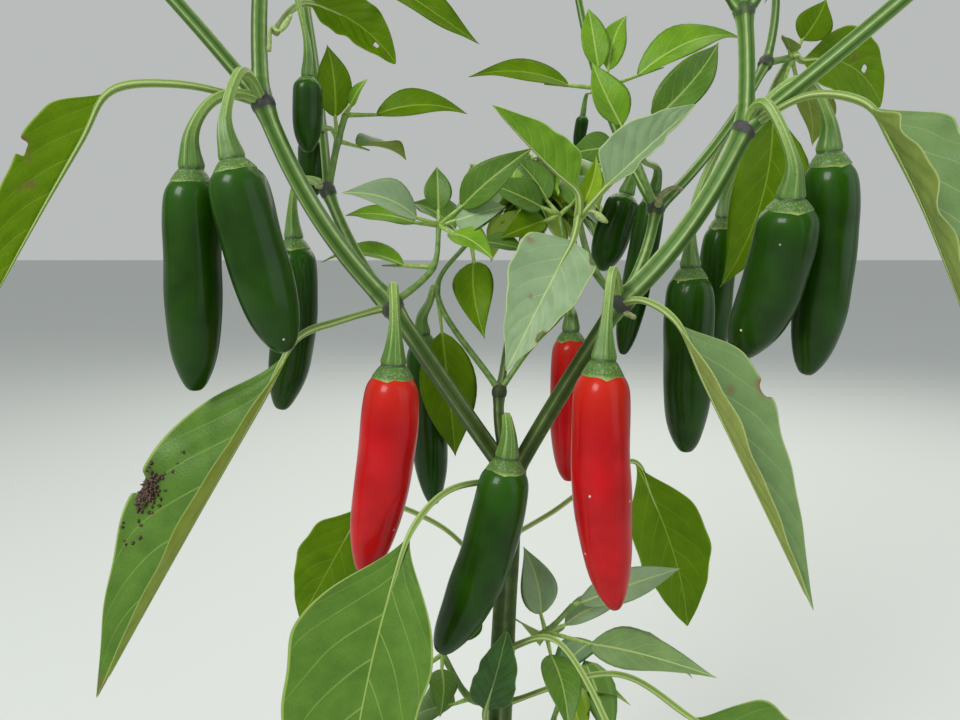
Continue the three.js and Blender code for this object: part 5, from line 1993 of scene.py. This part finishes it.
@dataclass
class SeededMass:
    """A tuft that grows by one rule: each shoot ends in a fork with leaves and sends out two more.

    The solids stop at the second round. The same rule goes on here to finer twigs within the same space.
    """

    plan: MassPlan
    skeleton: Skeleton
    fork_angle: float = 0.62
    shortens: float = 0.84
    first_radius: float = 1.5
    thins: float = 0.82
    tapers: float = 0.85
    twig_profile: Row = (1.1, 0.97, 0.93, 0.9, 1.0)
    upward: float = 0.18
    turn_spread: float = 0.8
    leaves_at_node: tuple[int, ...] = (2, 1, 2)
    leaf_spread: float = 2.1
    leaf_shortens: float = 0.1
    length_spread: float = 0.3
    droop: float = 0.75
    droop_lessens: float = 0.2
    droop_spread: float = 0.5
    stalk_out: float = 0.2
    stalk_up: float = 0.1
    face_out: float = 0.3
    calyx_offset: Row = (4, 3, -16)
    pod_offset: Row = (1, 1, -34)
    arch_offset: Row = (2, 2, 3)
    pod_clear: float = 8.0
    young_radius: float = 6.0
    fine_rounds: int = 5
    fine_leaves: int = 4
    fine_between: int = 5
    fine_hang: float = 0.5
    fine_room: float = 0.5
    fine_turns: Row = (1.3, 2.4)
    rows: int = 7
    columns: Row = (-1, -0.55, -0.06, 0.06, 0.55, 1)
    # least and most of each share of a leaf's shape
    shapes: dict[str, Row] = field(default_factory=lambda: {
        "arch": (0.06, 0.14), "fold": (0.1, 0.45), "bow": (-0.05, 0.05),
        "wave": (0, 0.08), "curl": (-0.15, 0.15)})
    box: tuple[Point, Point] | None = None

    def depth(self, plan: MassPlan, point: Point) -> float:
        """Return how deep a point lies in a mass's space: 0 at its middle, 1 at its edge."""
        return float(norm((point - vec(plan.middle)) / vec(plan.space)))

    def reached(self, point: Point) -> bool:
        """Tell whether a point lies within the box of the mass's solid."""
        low, high = self.box
        return bool((point >= low - 1).all() and (point <= high + 1).all())

    def fits(self, point: Point, clearance: float) -> bool:
        """Tell whether a point lies in this mass's own space, clear of everything else.

        Args:
            point: the place to test.
            clearance: distance to keep.

        Returns:
            True if it may grow there.
        """
        own = self.depth(self.plan, point)
        if point[2] <= KEEP_CLEAR or own >= 1:
            return False
        if any(other is not self.plan and self.depth(other, point) <= own + SPACE_MARGIN for other in MASSES):
            return False
        return self.skeleton.clear(point, clearance)

    def leaf(self, node: Point, azimuth: float, level: int, random: Random) -> SmallLeaf:
        """A leaf by the rule.

        Args:
            node: where it grows.
            azimuth: the way it points.
            level: round of forking.
            random: source of numbers.

        Returns:
            The leaf.
        """
        plan = self.plan
        length = plan.leaf * (1 - self.leaf_shortens * level) * (1 + self.length_spread * (random() - 0.5))
        hangs = level if level <= ROUNDS else self.fine_hang
        droop = self.droop - self.droop_lessens * hangs + self.droop_spread * (random() - 0.5)
        out = vec((math.cos(azimuth), math.sin(azimuth), 0))
        up = vec((0, 0, 1))
        foot = node + out * length * self.stalk_out + up * length * self.stalk_up
        tip = foot + out * length * math.cos(droop) - up * length * math.sin(droop)
        tone = plan.tones[int(azimuth * 7) % len(plan.tones)]
        return SmallLeaf(node, foot, tip, plan.width * length / plan.leaf, up + out * self.face_out,
                         LEAF_ARCH, list(Tone).index(tone))

    def leaf_fits(self, leaf: SmallLeaf, room: float) -> bool:
        """Tell whether a leaf fits.

        Args:
            leaf: the leaf.
            room: the height to keep over its middle, as a share of its width.

        Returns:
            True if its foot, middle, edges and tip all fit, with the room for its arch.
        """
        axis = leaf.tip - leaf.foot
        across = unit(np.cross(axis, leaf.facing))
        middle = leaf.foot + 0.4 * axis
        over = middle + unit(np.cross(across, axis)) * room * leaf.width
        spots = (leaf.foot, middle, leaf.foot + 0.7 * axis, leaf.tip, over,
                 middle + across * leaf.width / 2, middle - across * leaf.width / 2)
        return all(self.reached(spot) and self.fits(spot, 2 * KEEP_CLEAR) for spot in spots)

    def fork(self, shoot: Shoot, end: Point, turn: float) -> list[Shoot]:
        """The two shoots that a shoot's end sends out.

        Args:
            shoot: the shoot.
            end: its end.
            turn: chance turn of the next fork.

        Returns:
            The new shoots.
        """
        direction = Vector(shoot.direction)
        axis = rotated(any_sideways(shoot.direction), direction, shoot.azimuth)
        following = []
        for sign in (1, -1):
            new = rotated(shoot.direction, Vector(axis), sign * self.fork_angle) + vec((0, 0, self.upward))
            following.append(Shoot(end, unit(new), shoot.length * self.shortens, shoot.level + 1,
                                   shoot.azimuth + math.pi / 2 + turn))
        return following

    def grow(self, tuft: Tuft) -> None:
        """Grow the mass by its rule, and then on to finer twigs.

        Args:
            tuft: the pieces that it grows into.
        """
        plan = self.plan
        random, fine = seeded_numbers(plan.seed), seeded_numbers(plan.seed * 1000 + 7)
        start = self.skeleton.start_point(plan.start)
        shoots = [Shoot(start, unit(vec(plan.direction)), plan.shoot, 0, random() * 2 * math.pi)]
        while shoots:
            shoot = shoots.pop(0)
            level = shoot.level
            coarse = level <= ROUNDS
            source = random if coarse else fine
            end = shoot.start + shoot.direction * shoot.length
            radius = self.first_radius * self.thins ** level
            turn = self.turn_spread * (source() - 0.5)
            chance = source()
            if level > 0 and not self.fits(end, radius + KEEP_CLEAR) or not self.reached(end):
                continue
            line = shoot.start + np.linspace(0, 1.04, 6)[:, None] * (end - shoot.start)
            tuft.add_twig(line, radius * np.array([*self.twig_profile, self.tapers]))
            count = self.leaves_at_node[level] if coarse else self.fine_leaves
            for k in range(count):
                leaf = self.leaf(end, shoot.azimuth + turn + k * self.leaf_spread, level, source)
                self.add_leaf(tuft, leaf, fine, 0.0 if coarse else self.fine_room)
            for k in range(self.fine_between):
                middle = shoot.start + shoot.direction * shoot.length * (k + 1) / (self.fine_between + 1)
                turned = shoot.azimuth + self.fine_turns[0] + self.fine_turns[1] * k + fine()
                leaf = self.leaf(middle, turned, ROUNDS + 1 + k % 2, fine)
                self.add_leaf(tuft, leaf, fine, self.fine_room)
            self.add_pod(tuft, end, chance)
            if level < self.fine_rounds:
                shoots.extend(self.fork(shoot, end, turn))

    def add_leaf(self, tuft: Tuft, leaf: SmallLeaf, fine: Random, room: float) -> None:
        """Add a leaf where it fits, with its own fold and bow.

        Args:
            tuft: the pieces that it goes into.
            leaf: the leaf.
            fine: source of numbers.
            room: the height to keep over its middle, as a share of its width.
        """
        if self.leaf_fits(leaf, room):
            shape = dict(zip(self.shapes, between(list(self.shapes.values()), fine)))
            tuft.add_leaf(replace(leaf, **shape), self.rows, self.columns, True)

    def add_pod(self, tuft: Tuft, node: Point, chance: float) -> None:
        """Add a young pod under a node where chance has it and it fits.

        Args:
            tuft: the tuft that takes it.
            node: the node.
            chance: the number drawn for it.
        """
        calyx = node + vec(self.calyx_offset)
        tip = calyx + vec(self.pod_offset)
        spots = (calyx, (calyx + tip) / 2, tip)
        if chance < self.plan.pod_chance and all(self.fits(spot, self.pod_clear) for spot in spots):
            tuft.add_pod(node, (node + calyx) / 2 + vec(self.arch_offset), calyx, tip, self.young_radius)

    def build(self) -> None:
        """Build the mass."""
        self.box = tuple(vec(corner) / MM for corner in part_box(self.plan.name))
        tuft = Tuft(self.plan.name)
        self.grow(tuft)
        tuft.finish([m for tone in Tone for m in PLAIN_BLADES[tone]])


def rotated(point: Point, axis: Vector, angle: float) -> Point:
    """Turn a vector about an axis through the origin.

    Args:
        point: the vector.
        axis: the axis, of length 1.
        angle: the angle in radians.

    Returns:
        The turned vector.
    """
    axis = np.array(axis)
    cosine, sine = math.cos(angle), math.sin(angle)
    return point * cosine + np.cross(axis, point) * sine + axis * axis.dot(point) * (1 - cosine)


@dataclass
class Studio:
    """Plain pale floor and world, soft lights, and the camera at the photograph's angle."""

    pale: str = "E8ECEA"
    floor: str = "CDD1CF"
    floor_size: float = 40.0
    lights: tuple[tuple, ...] = (
        ("key_light", (-0.95, -1.15, 1.45), 0.75, 25.0, "FFFFFF"),
        ("back_light", (0.3, 1.1, 1.5), 1.8, 18.0, "FFFDF0"),
        ("fill_light", (1.3, -0.7, 0.9), 1.6, 8.0, "F4F6FF"),
    )
    target: Row = (0.0, 0.0, 0.4)
    camera: Row = (-0.008, -0.280, 0.393)
    pitch: float = 81.0
    lens: float = 27.0
    exposure: float = 0.0

    def build(self) -> None:
        """Build floor, world, lights and camera."""
        bpy.ops.mesh.primitive_plane_add(size=self.floor_size)
        floor = bpy.context.object
        floor.name = "floor"
        floor.data.materials.append(PlainSkin("floor_paint", self.floor, self.floor, 0.9, 20.0).material())
        scene = bpy.context.scene
        scene.world = bpy.data.worlds.new("pale_room")
        scene.world.use_nodes = True
        background = scene.world.node_tree.nodes["Background"]
        background.inputs["Color"].default_value = linear(self.pale)
        background.inputs["Strength"].default_value = 0.6
        for name, place, size, power, colour in self.lights:
            lamp = bpy.data.lights.new(name, "AREA")
            lamp.size, lamp.energy, lamp.color = size, power, linear(colour)[:3]
            light = bpy.data.objects.new(name, lamp)
            light.location = place
            aim = Vector(self.target) - light.location
            light.rotation_euler = aim.to_track_quat("-Z", "Y").to_euler()
            scene.collection.objects.link(light)
        camera = bpy.data.objects.new("camera", bpy.data.cameras.new("camera"))
        camera.data.lens = self.lens
        camera.data.clip_start = 0.01
        camera.location = self.camera
        camera.rotation_euler = (math.radians(self.pitch), 0, 0)
        scene.collection.objects.link(camera)
        scene.camera = camera
        scene.view_settings.view_transform = "Standard"
        scene.view_settings.exposure = self.exposure


def main() -> None:
    """Build the plant from the ground up, then the studio."""
    skeleton = Skeleton()
    Framework(skeleton).build()
    for pod in PODS:
        Pod(pod, skeleton).build()
    for twiglet in TWIGLETS:
        twiglet.build()
    Droppings(BigLeaf(LEAVES[0], skeleton)).build()
    for leaf in LEAVES:
        BigLeaf(leaf, skeleton).build()
        skeleton.block(leaf.foot, leaf.tip, sum(leaf.widths) / 2)
    for spray in SPRAYS:
        Spray(spray, skeleton).build()
    for mass in MASSES:
        SeededMass(mass, skeleton).build()
    Studio().build()


if __name__ == "__main__":
    logging.basicConfig(level=logging.INFO, format="%(message)s")
    main()
